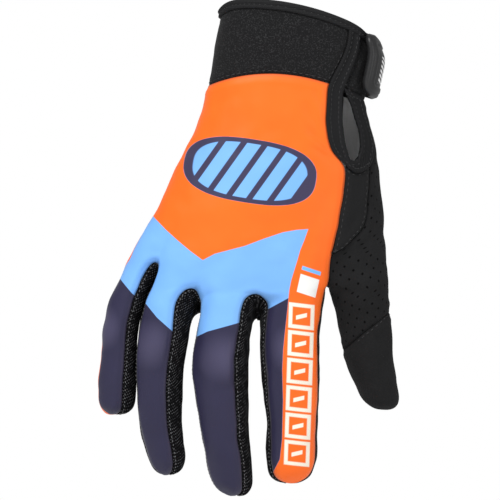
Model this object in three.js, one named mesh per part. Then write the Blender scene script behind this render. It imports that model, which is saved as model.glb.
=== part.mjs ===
// A full-finger slip-on glove for the right hand, filled as if worn. Millimetres, +Z up towards the cuff,
// +X towards the thumb, the back of the hand faces -Y. The origin is the middle of the cuff's opening.
// The skin is one surface of rings: each ring goes round the wrist and hand, and past a web it goes round
// each digit by itself. The pieces are cut from that skin along its columns and rows.
import * as THREE from 'three';

// Driving dimensions.
const HAND_LENGTH = 132;
const HAND_BREADTH = 130;
const HAND_THICKNESS = 40;
const CUFF_LENGTH = 30;
const KEYHOLE_LENGTH = 36;
const LITTLE_LENGTH = 54;
const RING_LENGTH = 82;
const MIDDLE_LENGTH = 92;
const INDEX_LENGTH = 86;
const THUMB_LENGTH = 52;
const FABRIC_WALL = 1.1;
const SUEDE_WALL = 1;
const KNIT_WALL = 1;
const KNIT_INSET = 0.5;
const SUEDE_INSET = 0.25;
const NEOPRENE_WALL = 2.4;
const TAPE_RAISE = 0.6;
const SEAM_GAP = 0.3;
const WEB_SLANT = 12;
const HEM_WIDTH = 4;
const HEM_THICKNESS = 0.9;
const TAB_HEIGHT = 33;
const TAB_THICKNESS = 2.2;
const STRAP_HEIGHT = 22;
const STRAP_THICKNESS = 1;

const COLORS = {
  print: 0xff822c, suede: 0x262628, knit: 0x1d1d20, smooth: 0x202022, neoprene: 0x232325,
  tape: 0x19191b, rubber: 0x2a2a2d, webbing: 0x1b1b1d,
};

const HALF_BREADTH = HAND_BREADTH / 2;
const HALF_THICKNESS = HAND_THICKNESS / 2;
const SQUARENESS = 2 / 2.4;

// A smooth value between the rows of a table: the first column is the share at which a row holds.
function track(rows, column) {
  const count = rows.length;
  const slope = (i) => {
    const a = Math.max(i - 1, 0);
    const b = Math.min(i + 1, count - 1);
    return (rows[b][column] - rows[a][column]) / (rows[b][0] - rows[a][0]);
  };
  return (at) => {
    if (at <= rows[0][0]) return rows[0][column];
    if (at >= rows[count - 1][0]) return rows[count - 1][column];
    let i = 0;
    while (at > rows[i + 1][0]) i += 1;
    const span = rows[i + 1][0] - rows[i][0];
    const t = (at - rows[i][0]) / span;
    const t2 = t * t;
    const t3 = t2 * t;
    return (2 * t3 - 3 * t2 + 1) * rows[i][column] + (t3 - 2 * t2 + t) * span * slope(i)
      + (3 * t2 - 2 * t3) * rows[i + 1][column] + (t3 - t2) * span * slope(i + 1);
  };
}

const mix = (a, b, t) => a + (b - a) * t;
const smooth = (t) => {
  const c = Math.min(Math.max(t, 0), 1);
  return c * c * (3 - 2 * c);
};
const FULL_TURN = 360;
const deg = (angle) => (angle * Math.PI) / 180;

// Wrist and hand: share of the hand length below the opening, then the left and right edges as shares of
// half the breadth, half the thickness as a share, and how far the left and right edges bend to the palm.
const HAND_ROWS = [
  [0.00, -0.535, 0.515, 1.08, 0.00, 0.00],
  [0.06, -0.565, 0.545, 1.08, 0.00, 0.00],
  [0.13, -0.588, 0.525, 1.06, 0.00, 0.00],
  [0.22, -0.632, 0.490, 1.02, 0.00, 0.02],
  [0.32, -0.668, 0.512, 1.00, 0.05, 0.05],
  [0.44, -0.768, 0.568, 0.98, 0.10, 0.25],
  [0.58, -0.895, 0.600, 0.94, 0.15, 0.50],
  [0.72, -1.045, 0.640, 0.88, 0.20, 0.75],
  [0.86, -1.195, 0.685, 0.80, 0.25, 0.95],
  [0.96, -1.300, 0.690, 0.73, 0.28, 1.05],
  [1.00, -1.330, 0.676, 0.71, 0.30, 1.10],
];
const handLeft = track(HAND_ROWS, 1);
const handRight = track(HAND_ROWS, 2);
const handDepth = track(HAND_ROWS, 3);
const bendLeft = track(HAND_ROWS, 4);
const bendRight = track(HAND_ROWS, 5);

// A point of the hand's ring: angle 0 is the back of the hand, 90 the thumb's side, 180 the palm.
function handPoint(angle, row) {
  const share = -row.z / HAND_LENGTH;
  const left = handLeft(share) * HALF_BREADTH;
  const right = handRight(share) * HALF_BREADTH;
  const power = (v) => Math.sign(v) * Math.abs(v) ** SQUARENESS;
  const side = power(Math.sin(deg(angle)));
  const front = power(Math.cos(deg(angle)));
  const bend = (side < 0 ? bendLeft(share) : bendRight(share)) * HALF_THICKNESS;
  return new THREE.Vector3(
    (left + right) / 2 + ((right - left) / 2) * side,
    bend * side * side - handDepth(share) * HALF_THICKNESS * front,
    row.z + row.lean * side + row.dome * side * side - (row.corner || 0) * side ** 12
      - row.slant * ((1 - front) / 2) * (1 - smooth((side - 0.1) / 0.38)),
  );
}
// The angle at which the hand's ring passes a share of its half width.
const angleAt = (share) => (Math.asin(Math.min(share, 1) ** (1 / SQUARENESS)) * 180) / Math.PI;
const angleOf = (share) => (share < 0 ? -angleAt(-share) : angleAt(share));

// Digits. Rows: share of the digit's length below its root, the centre line's place to the side as a share of
// half the breadth, its place to the palm, half width and half depth as shares of its girth. Corners: the
// angles of the four seams.
const DIGIT_ROOT = 1 - HAND_LENGTH;
const DIGITS = [
  {
    name: 'little', slanted: 1, level: 0, root: DIGIT_ROOT, length: LITTLE_LENGTH, girth: 18, cap: 0.17,
    corners: [-100, 20, 100, 215],
    rows: [
      [-0.80, -0.8917, 0.25, 0.380, 0.46],
      [-0.35, -1.0828, 0.30, 0.380, 0.46],
      [-0.15, -1.1326, 0.33, 0.450, 0.50],
      [0.00, -1.1963, 0.38, 0.460, 0.50],
      [0.25, -1.2434, 0.45, 0.425, 0.49],
      [0.45, -1.2655, 0.52, 0.433, 0.48],
      [0.62, -1.2738, 0.62, 0.436, 0.47],
      [0.80, -1.2822, 0.76, 0.465, 0.46],
      [1.00, -1.2905, 0.95, 0.480, 0.44],
    ],
  },
  {
    name: 'ring', slanted: 1, level: 0, root: DIGIT_ROOT, length: RING_LENGTH, girth: 23, cap: 0.115,
    corners: [-80, 20, 100, 200],
    rows: [
      [-0.52, -0.6935, 0.00, 0.455, 0.50],
      [-0.22, -0.8103, 0.02, 0.455, 0.50],
      [-0.07, -0.8563, 0.03, 0.455, 0.50],
      [0.00, -0.8988, 0.05, 0.480, 0.50],
      [0.17, -0.9306, 0.12, 0.535, 0.50],
      [0.29, -0.9554, 0.19, 0.515, 0.48],
      [0.40, -0.9695, 0.28, 0.500, 0.47],
      [0.57, -0.9695, 0.42, 0.468, 0.45],
      [0.68, -0.9695, 0.52, 0.460, 0.44],
      [0.80, -0.9448, 0.65, 0.430, 0.42],
      [0.90, -0.9200, 0.76, 0.398, 0.40],
      [1.00, -0.9094, 0.88, 0.370, 0.37],
    ],
  },
  {
    name: 'middle', slanted: 1, level: 0, root: DIGIT_ROOT, length: MIDDLE_LENGTH, girth: 25, cap: 0.108,
    corners: [-85, 32, 105, 195],
    rows: [
      [-0.46, -0.3692, -0.05, 0.500, 0.50],
      [-0.20, -0.4231, -0.04, 0.500, 0.50],
      [0.00, -0.4808, -0.03, 0.520, 0.50],
      [0.15, -0.5077, 0.02, 0.515, 0.49],
      [0.26, -0.5385, 0.08, 0.530, 0.48],
      [0.36, -0.5423, 0.16, 0.544, 0.47],
      [0.46, -0.5346, 0.25, 0.524, 0.46],
      [0.61, -0.5154, 0.41, 0.465, 0.44],
      [0.71, -0.5038, 0.54, 0.460, 0.43],
      [0.81, -0.4769, 0.68, 0.432, 0.41],
      [0.91, -0.4577, 0.83, 0.410, 0.39],
      [1.00, -0.4346, 0.96, 0.380, 0.36],
    ],
  },
  {
    name: 'index', slanted: 1, level: 1, root: DIGIT_ROOT, length: INDEX_LENGTH, girth: 26, cap: 0.14,
    corners: [-56, 80, 115, 215],
    rows: [
      [-0.50, 0.0400, 0.00, 0.520, 0.50],
      [-0.20, 0.0200, 0.03, 0.520, 0.50],
      [0.00, -0.0200, 0.07, 0.535, 0.50],
      [0.16, -0.0460, 0.13, 0.542, 0.48],
      [0.27, -0.0492, 0.19, 0.531, 0.47],
      [0.38, -0.0452, 0.26, 0.535, 0.46],
      [0.49, -0.0360, 0.34, 0.512, 0.45],
      [0.65, -0.0320, 0.49, 0.470, 0.43],
      [0.75, -0.0320, 0.60, 0.468, 0.43],
      [0.86, -0.0300, 0.72, 0.462, 0.41],
      [1.00, -0.0440, 0.86, 0.440, 0.38],
    ],
  },
  {
    name: 'thumb', slanted: 0, level: 0, root: DIGIT_ROOT, length: THUMB_LENGTH, girth: 26, cap: 0.155,
    corners: [-95, 205, 205, 205],
    rows: [
      [-0.85, 0.4080, 0.42, 0.570, 0.52],
      [-0.35, 0.4320, 0.46, 0.570, 0.52],
      [-0.08, 0.4560, 0.54, 0.545, 0.50],
      [0.00, 0.4600, 0.58, 0.535, 0.50],
      [0.18, 0.4920, 0.68, 0.505, 0.48],
      [0.36, 0.5080, 0.80, 0.488, 0.46],
      [0.54, 0.5240, 0.88, 0.442, 0.44],
      [0.72, 0.5600, 0.96, 0.400, 0.42],
      [0.85, 0.5960, 1.00, 0.370, 0.39],
      [1.00, 0.6400, 1.06, 0.340, 0.34],
    ],
  },
];
for (const digit of DIGITS) {
  digit.tracks = [1, 2, 3, 4].map((column) => track(digit.rows, column));
  digit.tip = digit.root - digit.length;
  digit.capStart = digit.tip + digit.cap * digit.length;
}

// A point of a digit's ring, at the same angles as the hand's.
function digitPoint(digit, angle, row) {
  const a = deg(angle);
  const level = digit.slanted * (1 - digit.level * Math.max(0, Math.sin(a)));
  const z = row.z - ((row.slant * (1 - Math.cos(a))) / 2) * level + row.skew * Math.sin(a);
  const share = (digit.root - z) / digit.length;
  const side = digit.tracks[0](share) * HALF_BREADTH;
  const [depth, width, thick] = digit.tracks.slice(1).map((f) => f(share) * digit.girth);
  return new THREE.Vector3(
    side + width * row.close * Math.sin(a),
    depth - thick * row.close * Math.cos(a),
    z,
  );
}

// Webs between neighbours: height below the opening as a share of the hand length, the shares of the hand's
// half width at which they lie on the back and the palm, and the height over which the gap below them opens.
const WEBS = [
  { name: 'little_ring', height: 0.854, share: -0.775, palmShare: -0.69, open: 9 },
  { name: 'ring_middle', height: 0.952, share: -0.416, palmShare: -0.37, open: 9 },
  { name: 'middle_index', height: 0.972, share: 0.027, palmShare: 0.03, open: 9 },
  { name: 'index_thumb', height: 0.952, share: 0.536, palmShare: 0.5, open: 15 },
];
const WEB_VALLEY = 4.5;
const KNUCKLE_REACH = 30;
const THUMB_REACH = 42;

// The thumb's side of the hand. Share of the hand length, then shares of the ring's half width: the back
// panel's border, the keyhole's left and right rims, the gusset's outer seam, the palm's border.
const SEAM_ROWS = [
  [0.00, 0.740, 0.860, 0.885, 0.985, 0.75],
  [0.12, 0.640, 0.770, 0.795, 0.970, 0.75],
  [0.215, 0.545, 0.705, 0.735, 0.940, 0.72],
  [0.260, 0.525, 0.685, 0.815, 0.970, 0.70],
  [0.330, 0.500, 0.670, 0.865, 0.985, 0.66],
  [0.400, 0.480, 0.645, 0.870, 0.985, 0.60],
  [0.460, 0.510, 0.665, 0.835, 0.970, 0.54],
  [0.500, 0.590, 0.705, 0.790, 0.935, 0.48],
  [0.530, 0.680, 0.750, 0.820, 0.900, 0.44],
  [0.600, 0.655, 0.725, 0.805, 0.885, 0.38],
  [0.656, 0.638, 0.712, 0.790, 0.865, 0.33],
  [0.705, 0.620, 0.695, 0.770, 0.845, 0.31],
  [0.750, 0.595, 0.660, 0.725, 0.790, 0.31],
  [0.778, 0.572, 0.625, 0.677, 0.730, 0.32],
  [0.812, 0.548, 0.582, 0.616, 0.650, 0.34],
  [0.836, 0.540, 0.541, 0.542, 0.543, 0.36],
  [0.952, 0.536, 0.536, 0.536, 0.536, 0.50],
];
const seams = [1, 2, 3, 4, 5].map((column) => track(SEAM_ROWS, column));

// The cuff's opening is cut slanting and the seam at its foot is arched: how far each is tilted down to the
// thumb's side, and how far its sides lie below its middle. Both die away below the keyhole.
const OPENING_HEIGHT = 2.2;
const OPENING_LEAN = -6.9;
const OPENING_DOME = -5;
const OPENING_CORNER = 3.5;
const SEAM_LEAN = -3.5;
const SEAM_DOME = -8;
const seamHeight = -CUFF_LENGTH + 1.6;
const keyholeEnd = seamHeight - KEYHOLE_LENGTH - 5;
const lastWeb = WEBS[2].height * HAND_LENGTH;
const webSlant = (z) => WEB_SLANT * smooth((keyholeEnd - z) / (lastWeb + keyholeEnd));

// A row of the cuff at a share of its length: 0 is the opening's edge, 1 the seam at its foot.
function cuffRow(t) {
  return {
    z: mix(OPENING_HEIGHT, seamHeight, t), lean: mix(OPENING_LEAN, SEAM_LEAN, t),
    dome: mix(OPENING_DOME, SEAM_DOME, t), corner: OPENING_CORNER * (1 - t) ** 2, slant: 0,
  };
}

// Rows that all the rings share, down to the last web: height, tilt and arch.
const sharedRows = [];
const CUFF_STEPS = 3;
for (let i = 0; i <= CUFF_STEPS; i += 1) {
  sharedRows.push({ ...cuffRow(i / CUFF_STEPS), zone: 'cuff' });
}
const KEYHOLE_SHARES = [0.1, 0.27, 0.5, 0.7, 0.82, 0.89, 1];
KEYHOLE_SHARES.forEach((t) => {
  sharedRows.push({
    z: mix(seamHeight, keyholeEnd, t), lean: SEAM_LEAN * (1 - t), dome: SEAM_DOME * (1 - t),
    zone: t > 0.89 ? 'under keyhole' : 'keyhole',
  });
});
const HAND_SHARES = [0.6, 0.656, 0.705, 0.75, 0.778, 0.812, 0.836];
HAND_SHARES.forEach((share) => sharedRows.push({ z: -share * HAND_LENGTH, lean: 0, dome: 0, zone: 'hand' }));
const webDrops = [
  [0, 0], [0, 1.8], [0, 5], [1, 0], [1, 1.2], [2, 0], [2, 1.7], [2, 4.2], [2, 7.5],
];
webDrops.forEach(([web, drop]) => {
  sharedRows.push({ z: -WEBS[web].height * HAND_LENGTH - drop, lean: 0, dome: 0, zone: 'hand' });
});
sharedRows.forEach((row) => Object.assign(row, { slant: webSlant(row.z), skew: 0, close: 1 }));
WEBS.forEach((web) => {
  web.z = -web.height * HAND_LENGTH;
  web.row = sharedRows.findIndex((row) => Math.abs(row.z - web.z) < 1e-6);
});

// Each digit's own rows below the shared ones, and the rows that close its tip.
const THUMB_SEAM_ROW = 2;
const THUMB_SKEW = 9.4;
const THUMB_SHARES = [0.12, 0.26, 0.42, 0.6, 0.8, 1];
const STEPS = { little: 5, ring: 6, middle: 7, index: 7, thumb: 6 };
const CAP_ANGLES = [26, 48, 67, 82];
const CAP_POWER = 0.82;
for (const digit of DIGITS) {
  digit.all = sharedRows.map((row) => ({ ...row }));
  const start = sharedRows[sharedRows.length - 1];
  const steps = STEPS[digit.name];
  for (let i = 1; i <= steps; i += 1) {
    const t = i / steps;
    const row = { z: mix(start.z, digit.capStart, t), lean: 0, dome: 0, close: 1, zone: 'digit' };
    row.slant = start.slant * (1 - smooth(t));
    row.skew = 0;
    if (digit.name === 'thumb') row.z = mix(start.z, digit.capStart, THUMB_SHARES[i - 1]);
    digit.all.push(row);
  }
  for (const angle of CAP_ANGLES) {
    digit.all.push({
      z: digit.capStart - (digit.capStart - digit.tip) * Math.sin(deg(angle)) ** CAP_POWER,
      lean: 0, dome: 0, slant: 0, skew: 0, close: Math.cos(deg(angle)) ** CAP_POWER, zone: 'digit',
    });
  }
  digit.all.push({ z: digit.tip, lean: 0, dome: 0, slant: 0, skew: 0, close: 0, zone: 'digit' });
}

// The thumb's rings lean more and more down to the slanting seam of its tip, then come level again.
const thumb = DIGITS[4];
const thumbWeb = WEBS[3];
const thumbSeamRow = sharedRows.length - 1 + THUMB_SEAM_ROW;
const thumbSeamZ = thumb.all[thumbSeamRow].z;
thumb.all.forEach((row, i) => {
  if (i <= thumbWeb.row) return;
  const before = smooth((thumbWeb.z - row.z) / (thumbWeb.z - thumbSeamZ));
  const after = 1 - smooth((thumbSeamZ - row.z) / (thumbSeamZ - thumb.capStart));
  row.skew = THUMB_SKEW * Math.min(before, after);
});

// How far a ring at a height has turned from the hand's form into the digit's.
const blend = (web, z) => smooth((web.z + KNUCKLE_REACH - z) / KNUCKLE_REACH);
const palmAngle = (share) => 180 - angleOf(share);

// A seam between two neighbours above their web, on the back (front) or the palm.
function webSeam(web, row, front) {
  const fixed = front ? web.share : web.palmShare;
  const share = web.name === 'index_thumb' ? seams[front ? 0 : 4](-row.z / HAND_LENGTH) : fixed;
  const angle = front ? angleOf(share) : palmAngle(share);
  const point = handPoint(angle, row);
  point.y += (front ? 1 : -1) * WEB_VALLEY * blend(web, row.z) ** 2;
  return { angle, point };
}

// The saddle of a web, from its back (v = 0) to its palm (v = 1).
function saddle(web, v) {
  const row = sharedRows[web.row];
  const a = webSeam(web, row, true).point;
  const b = webSeam(web, row, false).point;
  return a.lerp(b, v);
}

// A point of a digit's side below its web: it starts on the saddle and opens like a rounded arch.
function sidePoint(digit, web, v, angle, row) {
  const start = saddle(web, v);
  const free = digitPoint(digit, angle, row);
  const drop = Math.min(Math.max((start.z - free.z) / web.open, 0), 1);
  return start.lerp(free, row === digit.all[web.row] ? 0 : Math.sqrt(1 - (1 - drop) ** 2));
}

// Column counts of the strips.
const BACK_COLUMNS = 5;
const SIDE_COLUMNS = 3;
const PALM_COLUMNS = 4;
const THUMB_COLUMNS = 11;

// A strip of a digit between two seams: the hand's ring turns into the digit's, and the strip is pulled
// onto both seams. A higher fade keeps that pull closer to the seams.
const FINGER_FADE = 4;
const THUMB_FADE = 6;
function stripPoint(digit, row, u, handAngles, digitAngles, weight, ends, fade = 1) {
  const base = (t) => handPoint(handAngles(t), row)
    .lerp(digitPoint(digit, mix(digitAngles[0], digitAngles[1], t), row), weight);
  const point = base(u);
  point.addScaledVector(ends[0].clone().sub(base(0)), (1 - u) ** fade);
  point.addScaledVector(ends[1].clone().sub(base(1)), u ** fade);
  return point;
}

// One end of a strip: on the seam above the web, on the digit's side below it.
function stripEnd(digit, web, i, front, angle) {
  const row = digit.all[i];
  if (i <= web.row) return webSeam(web, sharedRows[i], front);
  const seam = webSeam(web, { ...row, z: Math.max(row.z, -HAND_LENGTH) }, front);
  return { angle: seam.angle, point: sidePoint(digit, web, front ? 0 : 1, angle, row) };
}

const OUTER_SIDE = { hand: [-116, -92], digit: [-145, -100] };

function outerEnd(digit, i, which) {
  const row = digit.all[i];
  const weight = blend(WEBS[0], row.z);
  const angle = OUTER_SIDE.hand[which];
  return { angle, point: handPoint(angle, row).lerp(digitPoint(digit, OUTER_SIDE.digit[which], row), weight) };
}

// The skin: quads with a piece's name each.
const quads = [];
function addStrip(rowCount, columns, pointAt, labelAt, firstRow = 0) {
  let above = null;
  for (let i = firstRow; i < rowCount; i += 1) {
    const line = [];
    for (let j = 0; j <= columns; j += 1) line.push(pointAt(i, j));
    if (above) {
      for (let j = 0; j < columns; j += 1) {
        const label = labelAt(i, j);
        if (label) quads.push({ label, corners: [above[j], line[j], line[j + 1], above[j + 1]] });
      }
    }
    above = line;
  }
}
const cuffOr = (digit, i, cuff, rest) => (digit.all[i].zone === 'cuff' ? cuff : rest);

DIGITS.forEach((digit, n) => {
  const [backLeft, backRight, palmRight, palmLeft] = digit.corners;
  const leftWeb = WEBS[n - 1];
  const rightWeb = WEBS[n];
  const count = digit.all.length;
  if (digit.name === 'thumb') return;

  addStrip(count, BACK_COLUMNS, (i, j) => {
    const left = leftWeb ? stripEnd(digit, leftWeb, i, true, backLeft) : outerEnd(digit, i, 1);
    const right = stripEnd(digit, rightWeb, i, true, backRight);
    const row = digit.all[i];
    const weight = Math.max(blend(rightWeb, row.z), leftWeb ? blend(leftWeb, row.z) : 0);
    const turn = (t) => mix(left.angle, right.angle, t);
    return stripPoint(digit, row, j / BACK_COLUMNS, turn, [backLeft, backRight], weight,
      [left.point, right.point], 1 + FINGER_FADE * weight);
  }, (i) => cuffOr(digit, i, 'cuff_back', 'back_panel'));

  addStrip(count, PALM_COLUMNS, (i, j) => {
    const right = stripEnd(digit, rightWeb, i, false, palmRight);
    const left = leftWeb ? stripEnd(digit, leftWeb, i, false, palmLeft) : outerEnd(digit, i, 0);
    const leftAngle = leftWeb ? left.angle : left.angle + FULL_TURN;
    const row = digit.all[i];
    const weight = Math.max(blend(rightWeb, row.z), leftWeb ? blend(leftWeb, row.z) : 0);
    const turn = (t) => mix(right.angle, leftAngle, t);
    return stripPoint(digit, row, j / PALM_COLUMNS, turn, [palmRight, palmLeft], weight,
      [right.point, left.point], 1 + FINGER_FADE * weight);
  }, (i) => cuffOr(digit, i, 'cuff_palm', 'palm_panel'));

  if (n === 0) {
    addStrip(count, SIDE_COLUMNS, (i, j) => {
      const row = digit.all[i];
      const weight = blend(WEBS[0], row.z);
      const [onHand, onDigit] = [OUTER_SIDE.hand, OUTER_SIDE.digit]
        .map(([a, b]) => mix(a, b, j / SIDE_COLUMNS));
      return handPoint(onHand, row).lerp(digitPoint(digit, onDigit, row), weight);
    }, (i) => cuffOr(digit, i, 'cuff_back', 'back_panel'));
  }

  addStrip(count, SIDE_COLUMNS, (i, j) => {
    const v = j / SIDE_COLUMNS;
    if (i === rightWeb.row) return saddle(rightWeb, v);
    return sidePoint(digit, rightWeb, v, mix(backRight, palmRight, v), digit.all[i]);
  }, () => (n < 3 ? `fourchette_${rightWeb.name}` : 'palm_panel'), rightWeb.row);

  if (leftWeb) {
    addStrip(count, SIDE_COLUMNS, (i, j) => {
      const v = 1 - j / SIDE_COLUMNS;
      if (i === leftWeb.row) return saddle(leftWeb, v);
      return sidePoint(digit, leftWeb, v, mix(palmLeft, backLeft + FULL_TURN, 1 - v), digit.all[i]);
    }, () => `fourchette_${leftWeb.name}`, leftWeb.row);
  }
});

// The thumb's side of the hand, from the back panel's border round to the palm's, and the thumb below it.
const BORDER_COLUMNS = [2, 2, 2];
const RIM_COLUMNS = BORDER_COLUMNS[0] + BORDER_COLUMNS[1] + BORDER_COLUMNS[2];
const sideAngles = (i) => {
  const share = Math.min(-thumb.all[i].z / HAND_LENGTH, WEBS[3].height);
  return [0, 1, 2, 3].map((k) => angleOf(seams[k](share)));
};
const KEYHOLE_SAG = 3;
// Below this width in degrees the border's band has run out, and its two seams are one.
const SPLIT_ANGLE = 0.3;
// The share of the thumb's strip at which it passes the thumb's outer edge.
const THUMB_EDGE = (90 - thumb.corners[0]) / (thumb.corners[1] - thumb.corners[0]);

addStrip(thumbWeb.row + 1, RIM_COLUMNS, (i, j) => {
  const angles = sideAngles(i);
  const k = Math.min(Math.floor(j / 2), 2);
  const angle = mix(angles[k], angles[k + 1], (j - k * 2) / 2);
  const row = thumb.all[i];
  if (j === 0) return webSeam(thumbWeb, row, true).point;
  const u = (j / RIM_COLUMNS) * 2 - 1;
  const sagged = row.zone === 'cuff' ? 0 : Math.max(0, 1 - Math.abs(row.z - keyholeEnd) / 16);
  const point = handPoint(angle, row);
  point.z -= KEYHOLE_SAG * sagged * (1 - u * u);
  if (j < RIM_COLUMNS || angles[3] - angles[0] < SPLIT_ANGLE) {
    point.y += WEB_VALLEY * blend(thumbWeb, row.z) ** 2 * Math.max(0, 1 - (angles[3] - angles[0]) / 6);
  }
  return point;
}, (i, j) => {
  const { zone } = thumb.all[i];
  if (zone === 'cuff') return j < 2 ? 'keyhole_binding' : (j < 4 ? null : 'cuff_palm');
  if (zone === 'keyhole') return j < 2 || j > 3 ? 'keyhole_binding' : null;
  return zone === 'under keyhole' ? 'keyhole_binding' : 'thumb_gusset';
});

function thumbEnd(i) {
  const row = thumb.all[i];
  if (i > thumbWeb.row) return sidePoint(thumb, thumbWeb, 0, thumb.corners[0], row);
  const angles = sideAngles(i);
  if (angles[3] - angles[0] < SPLIT_ANGLE) return webSeam(thumbWeb, row, true).point;
  return handPoint(angles[3], row);
}
addStrip(thumb.all.length, THUMB_COLUMNS, (i, j) => {
  const row = thumb.all[i];
  const [left, right] = [thumbEnd(i), stripEnd(thumb, thumbWeb, i, false, thumb.corners[1])];
  const from = i > thumbWeb.row ? angleOf(thumbWeb.share) : sideAngles(i)[3];
  const weight = smooth((thumbWeb.z + THUMB_REACH - row.z) / THUMB_REACH);
  const turn = (u) => (u < THUMB_EDGE ? mix(from, 90, u / THUMB_EDGE)
    : mix(90, right.angle, (u - THUMB_EDGE) / (1 - THUMB_EDGE)));
  return stripPoint(thumb, row, j / THUMB_COLUMNS, turn, [thumb.corners[0], thumb.corners[1]],
    weight, [left, right.point], 1 + THUMB_FADE * weight);
}, (i) => {
  if (thumb.all[i].zone === 'cuff') return 'cuff_palm';
  return i > thumbSeamRow ? 'thumb_tip' : 'thumb_panel';
});
addStrip(thumb.all.length, SIDE_COLUMNS, (i, j) => {
  const v = 1 - j / SIDE_COLUMNS;
  if (i === thumbWeb.row) return saddle(thumbWeb, v);
  const angle = mix(thumb.corners[1], thumb.corners[0] + FULL_TURN, 1 - v);
  return sidePoint(thumb, thumbWeb, v, angle, thumb.all[i]);
}, (i) => (i > thumbSeamRow ? 'thumb_tip' : 'thumb_panel'), thumbWeb.row);

// Weld the skin, drop what has no area and take the mean normal at each vertex.
const WELD = 1e-3;
const keys = new Map();
const points = [];
function vertex(point) {
  const key = [point.x, point.y, point.z].map((v) => Math.round(v / WELD)).join(',');
  if (!keys.has(key)) {
    keys.set(key, points.length);
    points.push(point.clone());
  }
  return keys.get(key);
}
const faces = [];
quads.forEach(({ label, corners }) => {
  const [a, b, c, d] = corners.map(vertex);
  [[a, b, c], [a, c, d]].forEach((t) => {
    if (new Set(t).size === 3) faces.push({ label, t });
  });
});
const normals = points.map(() => new THREE.Vector3());
faces.forEach(({ t }) => {
  const [a, b, c] = t.map((k) => points[k]);
  const cross = b.clone().sub(a).cross(c.clone().sub(a));
  t.forEach((k) => normals[k].add(cross));
});
normals.forEach((normal) => normal.normalize());

// A closed solid from the skin's faces with one name: outer face, inner face and the cut edges, which stay
// half a seam gap inside the seams.
function skinSolid(label, wall, raise, inset) {
  const own = faces.filter((face) => face.label === label).map((face) => face.t);
  const edges = new Map();
  own.forEach((t) => t.forEach((a, k) => {
    const [b, c] = [t[(k + 1) % 3], t[(k + 2) % 3]];
    edges.set(`${a},${b}`, [a, b, c]);
  }));
  const rim = [...edges.values()].filter(([a, b]) => !edges.has(`${b},${a}`));
  const shift = new Map();
  rim.forEach(([a, b, c]) => {
    const along = points[b].clone().sub(points[a]).normalize();
    const inward = points[c].clone().sub(points[a]);
    inward.addScaledVector(along, -inward.dot(along)).normalize();
    [a, b].forEach((k) => {
      if (!shift.has(k)) shift.set(k, []);
      shift.get(k).push(inward);
    });
  });
  const moved = (k) => {
    const point = points[k].clone();
    if (!shift.has(k)) return point;
    const sum = shift.get(k).reduce((s, v) => s.add(v), new THREE.Vector3());
    const even = sum.length() / shift.get(k).length;
    return point.addScaledVector(sum.normalize(), inset / Math.max(even, 0.45));
  };
  const used = [...new Set(own.flat())];
  const slot = new Map(used.map((k, i) => [k, i]));
  const outer = used.map((k) => moved(k).addScaledVector(normals[k], raise));
  const inner = used.map((k) => moved(k).addScaledVector(normals[k], -wall));
  const index = [];
  own.forEach((t) => {
    const [a, b, c] = t.map((k) => slot.get(k));
    index.push(a, b, c, a + used.length, c + used.length, b + used.length);
  });
  rim.forEach(([a, b]) => {
    const [p, q] = [slot.get(a), slot.get(b)];
    index.push(q, p, p + used.length, q, p + used.length, q + used.length);
  });
  return closedGeometry([...outer, ...inner], index);
}

function closedGeometry(list, index) {
  const geometry = new THREE.BufferGeometry();
  geometry.setAttribute('position', new THREE.Float32BufferAttribute(list.flatMap((p) => p.toArray()), 3));
  geometry.setIndex(index);
  geometry.computeVertexNormals();
  return geometry;
}

// A point of the cuff's ring and the direction out of it.
function cuffFrame(angle, t) {
  const row = cuffRow(t);
  const point = handPoint(angle, row);
  const along = handPoint(angle + 2, row).sub(handPoint(angle - 2, row));
  return { point, out: new THREE.Vector3(along.y, -along.x, 0).normalize() };
}

// How far short of the slit the hem stops on each side, in degrees.
const HEM_STOP = 2;

// The hem: a tape folded over the cuff's upper edge, all the way round from one side of the slit to the other.
function hemRings() {
  const from = angleOf(seams[2](0)) + HEM_STOP;
  const to = angleOf(seams[1](0)) + FULL_TURN - HEM_STOP;
  const steps = 38;
  const outside = TAPE_RAISE + 1.6 * SEAM_GAP;
  const inside = NEOPRENE_WALL + SEAM_GAP;
  const crown = HEM_THICKNESS + 0.4;
  const shoulder = HEM_THICKNESS - 0.2;
  const section = [
    [outside + HEM_THICKNESS, shoulder],
    [outside + HEM_THICKNESS, -HEM_WIDTH],
    [outside, -HEM_WIDTH],
    [outside, SEAM_GAP],
    [-inside, SEAM_GAP],
    [-inside, -HEM_WIDTH],
    [-inside - HEM_THICKNESS, -HEM_WIDTH],
    [-inside - HEM_THICKNESS, shoulder],
    [-inside, crown],
    [outside, crown],
  ];
  return Array.from({ length: steps + 1 }, (_, i) => {
    const { point, out } = cuffFrame(mix(from, to, i / steps), 0);
    return section.map(([d, h]) => point.clone().addScaledVector(out, d).setZ(point.z + h));
  });
}

// The hem's section is a folded strip, so its ends are closed as that strip is.
function hemGeometry() {
  const rings = hemRings();
  const size = rings[0].length;
  const index = [];
  for (let i = 0; i + 1 < rings.length; i += 1) {
    for (let j = 0; j < size; j += 1) {
      const [a, b] = [i * size + j, i * size + ((j + 1) % size)];
      index.push(a, b, b + size, a, b + size, a + size);
    }
  }
  const last = (rings.length - 1) * size;
  const strip = [[0, 1, 2], [0, 2, 3], [0, 3, 9], [9, 3, 4], [9, 4, 8], [8, 4, 7], [7, 4, 5], [7, 5, 6]];
  strip.forEach(([a, b, c]) => index.push(a, c, b, last + a, last + b, last + c));
  return closedGeometry(rings.flat(), index);
}

const WRAP_STEP = 8;

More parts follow.
